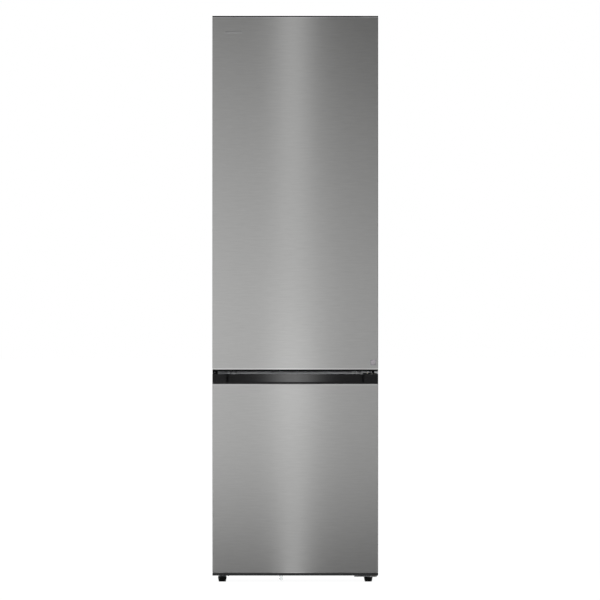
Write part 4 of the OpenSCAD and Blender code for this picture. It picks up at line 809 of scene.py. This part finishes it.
gapParts = {
    # low corner, high corner, corner radius of each block
    "endCap": [((-297.0, -260.0, 738.0), (-278.2, -257.4, 768.0), 2.0)],
    # a grey block darker than the rail over its left end: painted shade
    "endShade": [((-277.9, -259.0, 743.0), (-243.0, -257.4, 765.0), 2.0)],
    "lip": [((236.5, -281.5, 749.4), (273.0, -279.3, 756.7), 1.5)],
    # black blocks under the hinge's arm, by its stop and over its screws: spacers whose black paints the
    # shade there
    "spacers": [((241.5, -283.0, 746.1), (268.4, -262.0, 749.3), 1.0),
                ((274.8, -316.5, 746.4), (283.4, -310.6, 757.4), 1.2),
                ((222.0, -262.8, 753.4), (235.5, -260.3, 760.2), 1.2)],
    "collar": [[9.9, 0], [11.0, 0], [11.6, 0.6], [11.6, 7.9], [11.0, 8.5], [9.9, 8.5]],
    "collarBase": 748.5, "skirtBase": 746.2, "pin": (281.0, -300.5), "rivet": (259.3, -281.2, 748.7),
    "endScrew": (-288.0, -259.8, 750.6),
    "dome": [[3.2, 0.3], [3.2, -0.9], [2.6, -1.8], [1.4, -2.3], [0.3, -2.3]],      # of screw and rivet
}


def putBlocks(name, node, blocks, slot, material=None, more=()):
    grids = [slabGrid(low, high, 1, cornerMm, 0.5) for low, high, cornerMm in blocks]
    putGrids(name, node, grids + list(more), material, slot, False)


def makeGapParts():
    # End cap of the rail and a grey block at its left end that paints the shade there; lip, collar and rivet
    # of the middle hinge, and black spacers and a skirt under its arm and collar that paint the shade there
    g = gapParts
    dome, collar = np.array(g["dome"]), np.array(g["collar"])
    ring = ringed(turned(collar, (*g["pin"], g["collarBase"]), 2, 48))
    # A thin black ring under the collar: painted shade
    shadeSkirt = ringed(turned(collar * [0.99, 0.26], (*g["pin"], g["skirtBase"]), 2, 48))
    putBlocks("mullion_end_cap", "mullion_rail", g["endCap"], "black_plastic", capPlastic)
    # Grey block that paints the shade at the rail's left end
    putBlocks("mullion_end_shade", "mullion_rail", g["endShade"], "grey_plastic")
    putGrids("mullion_end_screw", "mullion_rail", [capped(turned(dome, g["endScrew"], 1, 24))],
             slot="dark_hinge_steel", stands=False)
    putBlocks("middle_hinge_lip", "middle_hinge", g["lip"], "hinge_steel", hingePaint, [ring])
    # Black spacers and the skirt: painted shade under the hinge's arm and collar
    putBlocks("middle_hinge_spacers", "middle_hinge", g["spacers"], "black_plastic", capPlastic, [shadeSkirt])
    putGrids("middle_hinge_rivet", "middle_hinge", [capped(turned(dome * 0.95, g["rivet"], 1, 24))],
             slot="bush_plastic", stands=False)


makeGapParts()


# Machine compartment

compressorCan = {
    "centre": (-90.0, 214.0, 52.0), "radius": 68.0, "height": 130.0, "shoulder": 37.4,
    "seam": 60.0, "seamOut": 4.0,
    "strapHalf": (90.0, 14.0), "strapY": 50.0, "strapThick": 3.0, "mountX": 78.0, "mountDown": 10.0,
    "mount": [[3, 0], [10.2, 0], [11, 0.8], [11, 2.6], [10.2, 3.4], [8, 4.6], [8, 6.8], [10.2, 8],
              [11, 8.8], [11, 10], [3, 10]],
    "bolt": [[0.3, 12.8], [6.5, 12.8], [6.5, 14.2], [3.6, 14.4], [3.4, 19.5], [2.6, 20.4], [0.3, 20.4]],
}


def makeCompressor():
    # Two drawn shells that meet in a welded rim, on two straps with rubber mounts
    c = compressorCan
    r, h, s = c["radius"], c["height"], c["shoulder"]
    turn = arcTurn(0, 90, 12)
    lower = np.stack([r - s + s * np.sin(turn), s - s * np.cos(turn)], 1)
    upper = np.stack([r - 1 - s + s * np.cos(turn), h - s + s * np.sin(turn)], 1)
    out = c["seamOut"]
    rim = [[0, 0], [1, 0.4], [out - 0.5, 0.8], [out, 1.6], [out, 3.6], [out - 0.5, 4.4], [0.4, 4.8],
           [-1, 6.5]]
    can = np.concatenate([[[0.5, 0]], lower, np.array(rim) + [r, c["seam"]], upper, [[0.5, h]]])
    putGrids("compressor_can", "compressor", [capped(turned(can, c["centre"], 2, 72))])
    straps, mounts = [], []
    x, y, z = c["centre"]
    halfX, halfY = c["strapHalf"]
    for strapY in (y - c["strapY"], y + c["strapY"]):
        straps.append(slabGrid((x - halfX, strapY - halfY, z),
                               (x + halfX, strapY + halfY, z + c["strapThick"]), 2, 10.0, 0.6))
        for mountX in (x - c["mountX"], x + c["mountX"]):
            place = (mountX, strapY, z - c["mountDown"])
            mounts.append(ringed(turned(c["mount"], place, 2, 32)))
            straps.append(capped(turned(c["bolt"], place, 2, 24)))
    putGrids("compressor_straps", "compressor", straps, slot="galvanised_sheet", stands=False)
    putGrids("compressor_rubber_mounts", "compressor", mounts, slot="grey_rubber", stands=False)


pipes = {
    # x of the riser, y, height of the level run, all in millimetres
    "risers": [(33.0, 190.0, 128.0), (61.0, 238.0, 96.0)],
    "radius": 3.2, "bend": 18.0, "top": 258.5, "canX": -27.0,
    "collar": [[3.4, -1], [6, -1], [6.6, 0.4], [5, 2.4], [3.4, 3]],
    "drier": [(61.0, 238.0, 137.0), 80.0, 9.0],
}


def makePipes():
    # Level out of the can, a quarter bend, then up; the drier is swaged down to the tube at its ends
    p = pipes
    grids = []
    turn = arcTurn(0, 90, 9)
    for x, y, z in p["risers"]:
        bend = np.stack([x - p["bend"] * (1 - np.sin(turn)), np.full(9, y),
                         z + p["bend"] * (1 - np.cos(turn))], 1)
        path = np.concatenate([[[p["canX"], y, z]], bend, [[x, y, p["top"]]]])
        grids.append(capped(tubeAlong(path, p["radius"], (0, 1, 0))))
        grids.append(ringed(turned(p["collar"], (p["canX"] + 1.5, y, z), 0, 24)))
    putGrids("refrigerant_pipes_tube", "refrigerant_pipes", grids, crease=50)
    place, length, radius = p["drier"]
    share = np.linspace(0, 1, 7)
    swage = np.stack([3.4 + (radius - 3.4) * (3 * share ** 2 - 2 * share ** 3), 11 * share], 1)
    drier = np.concatenate([swage, swage[::-1] * [1, -1] + [0, length]])
    putGrids("filter_drier", "refrigerant_pipes", [capped(turned(drier, place, 2, 32))], stands=False,
             crease=50)


makeCompressor()
makePipes()


# Glass shelves, wire rack

shelfTrim = {
    "glassMm": 4.0, "glassUpMm": 6.0, "groundMm": 0.9, "cornerMm": 4.0,
    "paneSideMm": 2.0, "paneFrontMm": 6.0, "paneBackMm": 1.0,
    "noseEndMm": 8.5, "noseMiddle": (8.0, 1.5),      # the nose is drawn in toward its middle at both ends
    "nose": [[16, -0.2], [16, 5.2], [15.2, 6.0], [3.2, 8.0], [1.2, 7.4], [0.2, 5.6], [0.0, 2.0],
             [0.4, -2.5], [1.8, -5.0], [3.6, -6.0], [6.5, -5.6], [8.0, -4.0], [8.6, -0.2]],
    "railSideMm": 9.0, "railDepthMm": 10.0, "railMm": (-2.0, 7.0),
}


def makeShelf(node):
    # Toughened pane with ground edges, a moulded nose along its front and a small rail at its back
    s = shelfTrim
    low, high = boxMm(node)
    z = low[2] + s["glassUpMm"]
    pane = slabGrid((low[0] + s["paneSideMm"], low[1] + s["paneFrontMm"], z),
                    (high[0] - s["paneSideMm"], high[1] - s["paneBackMm"], z + s["glassMm"]), 2,
                    s["cornerMm"], s["groundMm"])
    putGrids(node + "_pane", node, [pane])
    end = s["noseEndMm"]
    x = np.array([low[0] + end, low[0] + end + 1, 0, high[0] - end - 1, high[0] - end])
    middle = np.array(s["noseMiddle"])
    scale = np.array([0.9, 1, 1, 1, 0.9])[:, None, None]
    bent = middle + (np.array(s["nose"]) - middle) * scale
    nose = np.stack([np.broadcast_to(x[:, None], bent.shape[:2]), low[1] + bent[..., 0],
                     z + bent[..., 1]], -1) * mm
    rail = slabGrid((low[0] + s["railSideMm"], high[1] - s["railDepthMm"], z + s["railMm"][0]),
                    (high[0] - s["railSideMm"], high[1], z + s["railMm"][1]), 0, 2.5, 0.8)
    putGrids(node + "_trim", node, [capped(nose), rail], slot="white_liner", stands=False, crease=50)


rack = {"halfMm": 235.5, "barMm": 3.5, "wireMm": 2.5, "pitchMm": 36.0, "count": 13, "hookMm": 14.0,
        "bendMm": 9.0, "barInMm": 6.0}


def makeRack():
    # Two cross bars and a row of rods, each turned up at the front to stop the bottles
    r = rack
    low, high = boxMm("bottle_rack")
    z, b = low[2] + r["barMm"], r["bendMm"]
    front = low[1] + r["wireMm"]
    grids = []
    for y in (low[1] + r["barInMm"], high[1] - r["barInMm"]):
        path, radii = roundEnds([[-r["halfMm"], y, z], [0, y, z], [r["halfMm"], y, z]], r["barMm"])
        grids.append(capped(tubeAlong(path, radii, (0, 0, 1))))
    turn = arcTurn(90, 0, 7)
    for x in (np.arange(r["count"]) - (r["count"] - 1) / 2) * r["pitchMm"]:
        bend = np.stack([np.full(7, x), front + b - b * np.cos(turn), z + b - b * np.sin(turn)], 1)
        path = np.concatenate([[[x, high[1], z], [x, 0, z]], bend, [[x, front, z + b + r["hookMm"]]]])
        path, radii = roundEnds(path, r["wireMm"])
        grids.append(capped(tubeAlong(path, radii, (1, 0, 0))))
    putGrids("bottle_rack_wire", "bottle_rack", grids, crease=60)


for node in ("fridge_shelf_1", "fridge_shelf_2", "fridge_shelf_3", "crisper_lid"):
    makeShelf(node)
low, high = boxMm("freezer_shelves")
glass = shelfTrim["glassMm"]
putGrids("freezer_shelves_pane", "freezer_shelves", [
    slabGrid((low[0] + 1, low[1] + 1, z), (high[0] - 1, high[1] - 1, z + glass), 2, 5.0,
             shelfTrim["groundMm"]) for z in (low[2], high[2] - glass)])
makeRack()
print("machine parts, shelves and rack made")


# Drawers and bins in clear plastic

drawerShape = {
    "wallMm": 2.5, "lowerMm": 10.0, "cornerMm": 7.0, "draftMm": 1.5,
    "frontUpMm": 4.0, "frontThickMm": 3.5,       # the front plate stands higher than the tray
    "lipHighMm": 26.0, "lipDropMm": 1.5, "lipEnd": 0.35,
}
binShape = {"wallMm": 2.5, "lowerMm": 5.0, "cornersMm": (10.0, 10.0, 1.5, 1.5), "draftMm": 1.0,
            "bandSideMm": 20.0, "bandMm": (3.4, 0.4), "bandDownMm": (20.0, 6.0)}


def lipGrid(low, high, depthMm):
    # Finger lip: a hooked section carried sideways, its depth fading to nothing at both ends as
    # 1 - |share| to the sixth power
    d, h, end = depthMm + 2.5, drawerShape["lipHighMm"], drawerShape["lipEnd"]
    section = np.array([[d, 0], [2.6, -0.2], [0.9, -1.0], [0.1, -3.0], [0.0, -h * 0.55], [0.5, -h * 0.7],
                        [2.0, -h * 0.76], [3.4, -h * 0.68], [3.6, -7.0], [5.0, -4.6], [d, -4.2]])
    share = np.concatenate([np.linspace(-1, -0.8, 9), np.linspace(-0.7, 0.7, 9), np.linspace(0.8, 1, 9)])
    fade = (1 - np.abs(share) ** 6 * 0.97)[:, None]
    y = low[1] + d - (d - section[:, 0]) * fade
    z = high[2] + section[:, 1] * (end + (1 - end) * fade) - drawerShape["lipDropMm"]
    x = np.broadcast_to(share[:, None] * (high[0] - low[0]) / 4, y.shape)
    return capped(np.stack([x, y, z], -1) * mm)


def makeDrawer(node, lipMm):
    # Tray with a round lower edge, a taller front plate and its finger lip
    low, high = boxMm(node)
    s = drawerShape
    profile = trayProfile(high[2] - low[2] - s["frontUpMm"], s["wallMm"], s["lowerMm"], s["draftMm"])
    tray = loopStack((low[0], low[1] + lipMm, low[2]), high, 2, s["cornerMm"], profile)
    front = low[1] + lipMm - 2
    face = slabGrid((low[0], front, low[2] + 2), (high[0], front + s["frontThickMm"], high[2]), 1, 10.0,
                    1.2)
    putGrids(node + "_moulding", node, [capped(tray), face, lipGrid(low, high, lipMm - 2)], crease=40)


def makeBin(node):
    # Tray with square corners against the door and round ones toward the shelves
    low, high = boxMm(node)
    s = binShape
    profile = trayProfile(high[2] - low[2], s["wallMm"], s["lowerMm"], s["draftMm"])
    putGrids(node + "_moulding", node, [capped(loopStack(low, high, 2, s["cornersMm"], profile))],
             crease=40)
    band = slabGrid((low[0] + s["bandSideMm"], high[1] - s["bandMm"][0], high[2] - s["bandDownMm"][0]),
                    (high[0] - s["bandSideMm"], high[1] - s["bandMm"][1], high[2] - s["bandDownMm"][1]),
                    1, 2.0, 0.9)
    putGrids(node + "_rail", node, [band], slot="chrome_wire", stands=False)


makeDrawer("crisper_drawer", 10.0)
for level in ("top", "middle", "bottom"):
    makeDrawer("freezer_drawer_" + level, 12.0)
for node in ("door_bin_1", "door_bin_2", "door_bin_3", "bottle_bin"):
    makeBin(node)
print("drawers and bins made")


# Rear sheet with pressed beads, and its wall spacers

rearSheet = {
    "innerY": 315.5, "thick": 1.0, "bead": 2.6, "beadWidth": 16.0, "beadPitch": 88.0,
    "margin": 34.0, "fade": 12.0, "rowZ": [300, 830, 1390, 1960], "columns": 199, "rows": 220,
}
spacer = {
    "x": (-190.0, 190.0), "half": 22.0, "y": 316.8, "z": (1760.0, 1820.0),
    "section": [[0.6, 0], [0, 0.6], [0, 59.4], [0.6, 60], [2.4, 60], [3, 59.4], [3, 0.6], [2.4, 0]],
}


def makeRearSheet():
    # Bead height over the sheet: round-topped upright ribs in three fields, fading at their ends
    r = rearSheet
    low, high = boxMm("back_panel")
    xs, zs = np.meshgrid(np.linspace(low[0], high[0], r["columns"]), np.linspace(low[2], high[2], r["rows"]))
    pitch, margin = r["beadPitch"], r["margin"]
    across = np.abs((xs + pitch / 2) % pitch - pitch / 2) / (r["beadWidth"] / 2)
    rib = np.where(across < 1, 0.5 + 0.5 * np.cos(math.pi * np.clip(across, 0, 1)), 0)
    field = np.clip((high[0] - np.abs(xs) - margin) / r["fade"], 0, 1)
    field = field * sum(np.clip(np.minimum(zs - z0 - margin, z1 - margin - zs) / r["fade"], 0, 1)
                        for z0, z1 in zip(r["rowZ"][:-1], r["rowZ"][1:]))
    inner = np.stack([xs, r["innerY"] + r["bead"] * rib * field, zs], -1) * mm
    outer = inner + [0, r["thick"] * mm, 0]
    rows, columns = xs.shape
    quads = gridFaces(rows, columns)
    rim = np.concatenate([np.arange(columns), np.arange(1, rows) * columns + columns - 1,
                          rows * columns - 2 - np.arange(columns - 1),
                          np.arange(rows - 2, 0, -1) * columns])
    total = rows * columns
    sides = np.stack([rim, np.roll(rim, -1), np.roll(rim, -1) + total, rim + total], 1)
    mesh = bpy.data.meshes.new("back_panel_sheet")
    mesh.from_pydata(np.concatenate([outer.reshape(-1, 3), inner.reshape(-1, 3)]).tolist(), [],
                     np.concatenate([quads, quads[:, ::-1] + total, sides]).tolist())
    tidyMesh(mesh, 35)
    putPiece("back_panel_sheet", mesh, ["back_panel"])


def makeSpacers():
    # Hollow moulded blocks that keep the back off the wall, open at top and bottom
    s = spacer
    back = boxMm("back_panel")[1][1]
    grids = [ringed(loopStack((x - s["half"], s["y"], s["z"][0]), (x + s["half"], back, s["z"][1]), 2,
                              4.0, s["section"])) for x in s["x"]]
    putGrids("wall_spacers", "back_panel", grids, slot="black_plastic", stands=False)


makeRearSheet()
makeSpacers()


# Fan grille in the freezer's cover, and the two blank plates on the fridge door

grille = {"centre": (0.0, 185.0, 389.3), "radii": [8.0, 15.5, 23.0, 30.0], "wireMm": 1.1, "spokes": 6}
plates = {
    # centre x and z, width, height, in millimetres; both are left bare
    "corner_badge": (279.3, 787.0, 19.0, 19.0), "name_plate": (-222.0, 1972.0, 62.0, 9.0),
}
plateThick, plateRim, faceProud = 1.0, 1.4, 0.18      # in millimetres


def makeGrille():
    # Rings of wire on crossing spokes
    g = grille
    x, y, z = g["centre"]
    reach = g["radii"][-1]
    turn = np.linspace(0, 2 * math.pi, 48, endpoint=False)
    wire = np.linspace(0, 2 * math.pi, 8, endpoint=False)[:, None]
    grids = []
    for r in g["radii"]:
        radius = r + g["wireMm"] * np.cos(wire)
        depth = np.broadcast_to(y + g["wireMm"] * np.sin(wire), (8, 48))
        grids.append(ringed(np.stack([x + radius * np.cos(turn), depth, z + radius * np.sin(turn)], -1) * mm))
    for a in math.pi * np.arange(g["spokes"]) / g["spokes"]:
        spoke = np.array([math.cos(a), 0, math.sin(a)]) * reach
        ends = [g["centre"] - spoke, g["centre"], g["centre"] + spoke]
        grids.append(capped(tubeAlong(ends, g["wireMm"], (0, 1, 0), 8)))
    putGrids("evaporator_fan_grille", "freezer_duct_cover", grids, stands=False, crease=50)


def makePlate(name, frameMaterial, faceMaterial):
    # A thin plate on the steel, its face a hair proud of its frame
    x, z, width, height = plates[name]
    front = cadLow[1] / mm
    low = np.array([x - width / 2, front, z - height / 2])
    high = np.array([x + width / 2, front + plateThick, z + height / 2])
    rim = slabGrid(low + [0, faceProud, 0], high, 1, 1.6, 0.15)
    face = slabGrid(low + [plateRim, 0, plateRim], high - [plateRim, 0, plateRim], 1, 0.9, 0.1)
    putGrids(name + "_frame", "fridge_door_skin", [rim], frameMaterial, "dark_gloss_plastic", False)
    putGrids(name + "_face", "fridge_door_skin", [face], faceMaterial, "white_liner", False)


badgeFrame = makeMoulded("dullBadgeFrame", "#66646a", "#6e6c72", 0.4, 1.0, 0.01, 0.3)
badgeFace = makeMoulded("paleBadgeFace", "#888488", "#908c90", 0.35, 1.0, 0.005, 0.4)
plateFrame = makePlatedSteel("polishedPlateRim", "#c6c6c6", "#d0d0d0", 0.3)
plateFace = makePlatedSteel("satinPlateFace", "#b2b2b2", "#bababa", 0.35)
makeGrille()
makePlate("corner_badge", badgeFrame, badgeFace)
makePlate("name_plate", plateFrame, plateFace)
print("rear sheet, spacers, grille and plates made")


# Everything else that keeps its CAD shape gets soft edges

plainParts = {
    "left_side_panel": ("_sheet", 0.8), "right_side_panel": ("_sheet", 0.8),
    "top_panel": ("_sheet", 0.8), "base_pan": ("_sheet", 0.5), "fridge_liner": ("_shell", 1.2),
    "freezer_liner": ("_shell", 1.2), "mullion_rail": ("_sheet", 0.4), "top_hinge": ("_pressing", 0.5),
    "top_hinge_cover": ("_moulding", 0.8), "middle_hinge": ("_pressing", 0.5),
    "bottom_hinge": ("_pressing", 0.5), "hinge_hole_plugs": ("_moulding", 0.3),
    "rear_roller_brackets": ("_pressing", 0.5), "relay_cover": ("_moulding", 1.0),
    "evaporation_tray": ("_moulding", 0.6), "cord_gland": ("_moulding", 0.5),
    "drain_tube": ("_tube", 0.3), "air_duct_panel": ("_moulding", 0.9),
    "control_panel": ("_moulding", 0.9), "lamp_lens": ("_moulding", 0.6),
    "freezer_duct_cover": ("_moulding", 0.9), "set_key": ("_moulding", 0.8),
    "fridge_door_top_cap": ("_moulding", 0.8), "fridge_door_bottom_cap": ("_moulding", 0.4),
    "fridge_door_liner": ("_shell", 1.2), "freezer_grip_rail": ("_moulding", 0.8),
    "freezer_door_bottom_cap": ("_moulding", 0.5), "freezer_door_liner": ("_shell", 1.2),
    "fridge_door_bushes": ("_moulding", 0.3), "freezer_door_bushes": ("_moulding", 0.3),
}
specialFinish = {"mullion_rail": railPaint, "freezer_door_bottom_cap": capPlastic,
                 "fridge_door_top_cap": capPlastic, "top_hinge_cover": capPlastic}
for node, (suffix, edgeMm) in plainParts.items():
    dressNode(node, suffix, edgeMm, specialFinish.get(node))
# The grip rail's end faces stand back by 0.6 mm, so that its lip shows on them
railMesh = bpy.data.objects["freezer_grip_rail_moulding"].data
points = np.array([v.co for v in railMesh.vertices])
points[points[:, 1] < cadLow[1] + 0.2 * mm, 1] += 0.6 * mm
railMesh.vertices.foreach_set("co", points.ravel())
for node, piece in nodes.items():
    piece.data.materials.clear()
    piece.data.materials.append(materialOfSlot[slotOf[node]])
print("edges softened:", len(plainParts))


# Studio: pale floor, soft lamps, a reflector in front of the doors and the camera

studio = {
    "pixelMm": 3.5865, "frameCentreXMm": 16.9, "frameCentreZMm": 1011.0,
    "cameraAway": 80.0, "sensorMm": 36.0,
    "worldLight": 0.62, "floorSize": 600.0, "floorGlow": 0.8, "floorWhite": 1.13,
}
reflector = {
    "away": 0.9, "halfWidth": 1.0, "fineHalf": 0.6, "bend": 0.6, "wingBack": 2.0, "wingLevel": 0.55,
    "heights": [0.003, 0.12, 0.35, 0.76, 1.2, 1.7, 2.2, 3.2],
    "left": [0.24, 0.38, 0.92, 1.07, 0.77, 0.57, 0.22, 0.12],
    "right": [0.22, 0.28, 0.62, 0.75, 0.52, 0.33, 0.08, 0.05],
    "streak": [0.5, 0.46, 0.2, -0.16, 0.2, 0.42, 0.66, 0.7],
    "sideMiddle": 0.02, "sideWidth": 0.09, "streakX": -0.008, "streakWidth": 0.05,
    "matHalfWidth": 0.9, "matNear": 0.15, "matNearDepth": 0.05, "matFar": 0.1, "matStreak": 0.45,
    "slotLow": 0.7, "slotTop": 0.757, "slotSide": 0.15, "slotGlow": 3.7, "slotWidth": 0.083,
    "dip": 0.07, "dipX": -0.14, "dipWidth": 0.09,
}
lamps = {
    # power in watts, width, height, place and target in metres
    "keySoftbox": (42, 2.5, 2.5, (-2.6, -3.4, 3.4), (0, 0, 1)),
    "fillSoftbox": (21, 2.5, 2.5, (3.2, -2.4, 2.2), (0, 0, 1)),
    "lowStripBox": (25, 3.0, 0.26, (0, -3.3, 0.93), (0, 0, 0.93)),
}


def makeCamera():
    s = studio
    data = bpy.data.cameras.new("camera")
    frameWidth = 600 * s["pixelMm"] * mm
    data.sensor_width = s["sensorMm"]
    data.lens = s["sensorMm"] * s["cameraAway"] / frameWidth
    data.clip_end = 500
    camera = bpy.data.objects.new("camera", data)
    camera.location = (s["frameCentreXMm"] * mm, cadLow[1] - s["cameraAway"], s["frameCentreZMm"] * mm)
    camera.rotation_euler = (math.radians(90), 0, 0)
    bpy.context.scene.collection.objects.link(camera)
    bpy.context.scene.camera = camera


def seenShare(tree):
    # 1 where the camera, a reflection or a ray through glass looks straight at it, 0 for other light
    path = addNode(tree, "ShaderNodeLightPath")
    seen = path.outputs["Is Camera Ray"]
    for ray in ("Is Glossy Ray", "Is Transmission Ray"):
        seen = addNode(tree, "ShaderNodeMath", {0: seen, 1: path.outputs[ray]},
                       operation="MAXIMUM").outputs[0]
    return seen


def makeFloor():
    # The camera and reflections see white, and the lit part of it keeps the object's shadow
    half = studio["floorSize"] / 2
    mesh = bpy.data.meshes.new("floor")
    mesh.from_pydata([(-half, -half, 0), (half, -half, 0), (half, half, 0), (-half, half, 0)], [],
                     [(0, 1, 2, 3)])
    floor = bpy.data.objects.new("floor", mesh)
    bpy.context.scene.collection.objects.link(floor)
    material, tree, surface = newMaterial("palePaintedFloor", baseColor=linearColour("#f4f4f4"),
                                          roughness=0.9, specularIorLevel=0.0)
    share = addNode(tree, "ShaderNodeMath", {0: seenShare(tree), 1: studio["floorGlow"]},
                    operation="MULTIPLY")
    glow = addNode(tree, "ShaderNodeEmission", {"Color": (1, 1, 1, 1), "Strength": studio["floorWhite"]})
    mixed = addNode(tree, "ShaderNodeMixShader", {0: share.outputs[0], 1: surface.outputs[0],
                                                  2: glow.outputs[0]})
    tree.links.new(mixed.outputs[0], tree.nodes["Material Output"].inputs["Surface"])
    mesh.materials.append(material)
    floor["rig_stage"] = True


def makeWorld():
    # Even grey light on the object, and white wherever the camera or a reflection looks past it
    world = bpy.data.worlds.new("studio")
    bpy.context.scene.world = world
    world.use_nodes = True
    tree = world.node_tree
    lit = tree.nodes["Background"]
    lit.inputs["Color"].default_value = (1, 1, 1, 1)
    lit.inputs["Strength"].default_value = studio["worldLight"]
    white = addNode(tree, "ShaderNodeBackground", {"Color": (1, 1, 1, 1), "Strength": 1.0})
    mixed = addNode(tree, "ShaderNodeMixShader", {0: seenShare(tree), 1: lit.outputs[0],
                                                  2: white.outputs[0]})
    tree.links.new(mixed.outputs[0], tree.nodes["World Output"].inputs["Surface"])


def makeLamp(name, power, width, height, place, target):
    data = bpy.data.lights.new(name, "AREA")
    data.energy = power
    data.shape = "RECTANGLE"
    data.size, data.size_y = width, height
    lamp = bpy.data.objects.new(name, data)
    lamp.location = place
    aim = np.array(target) - np.array(place)
    lamp.rotation_euler = Vector(aim).to_track_quat("-Z", "Y").to_euler()
    lamp.visible_camera = False
    lamp.visible_glossy = False
    bpy.context.scene.collection.objects.link(lamp)


def cardMaterial():
    material = bpy.data.materials.new("softboxCloth")
    material.use_nodes = True
    tree = material.node_tree
    tree.nodes.remove(tree.nodes["Principled BSDF"])
    level = addNode(tree, "ShaderNodeAttribute", attribute_name="glow")
    lit = addNode(tree, "ShaderNodeEmission", {"Color": (1, 1, 1, 1), "Strength": level.outputs["Fac"]})
    tree.links.new(lit.outputs[0], tree.nodes["Material Output"].inputs["Surface"])
    return material


def putCard(name, points, glow, material):
    # Only reflections see a card: it lights nothing else and throws no shadow
    rows, columns = glow.shape
    mesh = bpy.data.meshes.new(name)
    mesh.from_pydata(points.reshape(-1, 3).tolist(), [], gridFaces(rows, columns).tolist())
    level = mesh.attributes.new("glow", "FLOAT", "POINT")
    level.data.foreach_set("value", glow.ravel().astype(np.float32))
    mesh.materials.append(material)
    card = bpy.data.objects.new(name, mesh)
    bpy.context.scene.collection.objects.link(card)
    card.visible_camera = False
    card.visible_diffuse = False
    card.visible_transmission = False
    card.visible_shadow = False
    card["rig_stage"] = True


def cardPath():
    # Plan of the card from the left wing's end to the right one's: fine around the middle, with
    # a quarter circle at each corner
    r = reflector
    half, bend, front = r["halfWidth"], r["bend"], cadLow[1] - r["away"]
    fine = np.linspace(-r["fineHalf"], r["fineHalf"], 121)
    x = np.concatenate([[-half, fine[0] - 0.1], fine, [fine[-1] + 0.1, half]])
    flat = np.stack([x, np.full_like(x, front)], 1)
    turn = arcTurn(90, 0, 9)[1:]
    corner = np.stack([half + bend * np.cos(turn), front + bend - bend * np.sin(turn)], 1)
    wing = np.concatenate([corner, [[half + bend, front + bend + r["wingBack"]]]])
    return np.concatenate([wing[::-1] * [-1, 1], flat, wing])


def makeReflector():
    # Glow of the card at a point: a broad part that fades from left to right, with a shallow dip,
    # plus an upright streak, each with its own levels over the height. A level slot in front of the
    # grip band has dim sides and a soft bright middle.
    r = reflector
    path = cardPath()
    slot = [r["slotLow"] - 0.001, r["slotLow"], r["slotTop"], r["slotTop"] + 0.001]
    z = np.sort(np.concatenate([np.linspace(r["heights"][0], r["heights"][-1], 65), slot]))
    xs, zs = np.meshgrid(path[:, 0], z)
    ys = np.broadcast_to(path[:, 1], xs.shape)
    left, right, streak = [np.interp(zs, r["heights"], r[k]) for k in ("left", "right", "streak")]
    fade = 1 / (1 + np.exp((xs - r["sideMiddle"]) / r["sideWidth"]))
    bell = np.exp(-((xs - r["streakX"]) / r["streakWidth"]) ** 2)
    dip = 1 - r["dip"] * np.exp(-((xs - r["dipX"]) / r["dipWidth"]) ** 2)
    glow = (right + (left - right) * fade) * dip + streak * bell
    inSlot = (zs >= r["slotLow"]) & (zs <= r["slotTop"])
    wide = np.exp(-((xs - r["streakX"]) / r["slotWidth"]) ** 2)
    glow = np.where(inSlot, r["slotSide"] + r["slotGlow"] * wide, glow)
    wing = np.clip((ys - path[:, 1].min()) / r["bend"], 0, 1)
    glow = glow * (1 - (1 - r["wingLevel"]) * wing)
    material = cardMaterial()
    putCard("reflector", np.stack([xs, ys, zs], -1), glow, material)
    front = path[:, 1].min()
    across = np.linspace(-r["matHalfWidth"], r["matHalfWidth"], 61)
    matX, matY = np.meshgrid(across, np.linspace(front, cadLow[1] - 0.004, 9))
    far = (cadLow[1] - matY) / r["away"]
    near = np.exp(-((cadLow[1] - matY) / r["matNearDepth"]) ** 2)
    matGlow = (r["matNear"] * near + r["matFar"] * far
               + r["matStreak"] * np.exp(-((matX - r["streakX"]) / r["streakWidth"]) ** 2))
    mat = np.stack([matX, matY, np.full_like(matX, r["heights"][0])], -1)
    putCard("floorMat", mat, matGlow, material)


makeCamera()
makeFloor()
makeWorld()
makeReflector()
for name, settings in lamps.items():
    makeLamp(name, *settings)
bpy.context.scene.view_settings.view_transform = "Standard"
print("studio made")

low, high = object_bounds()
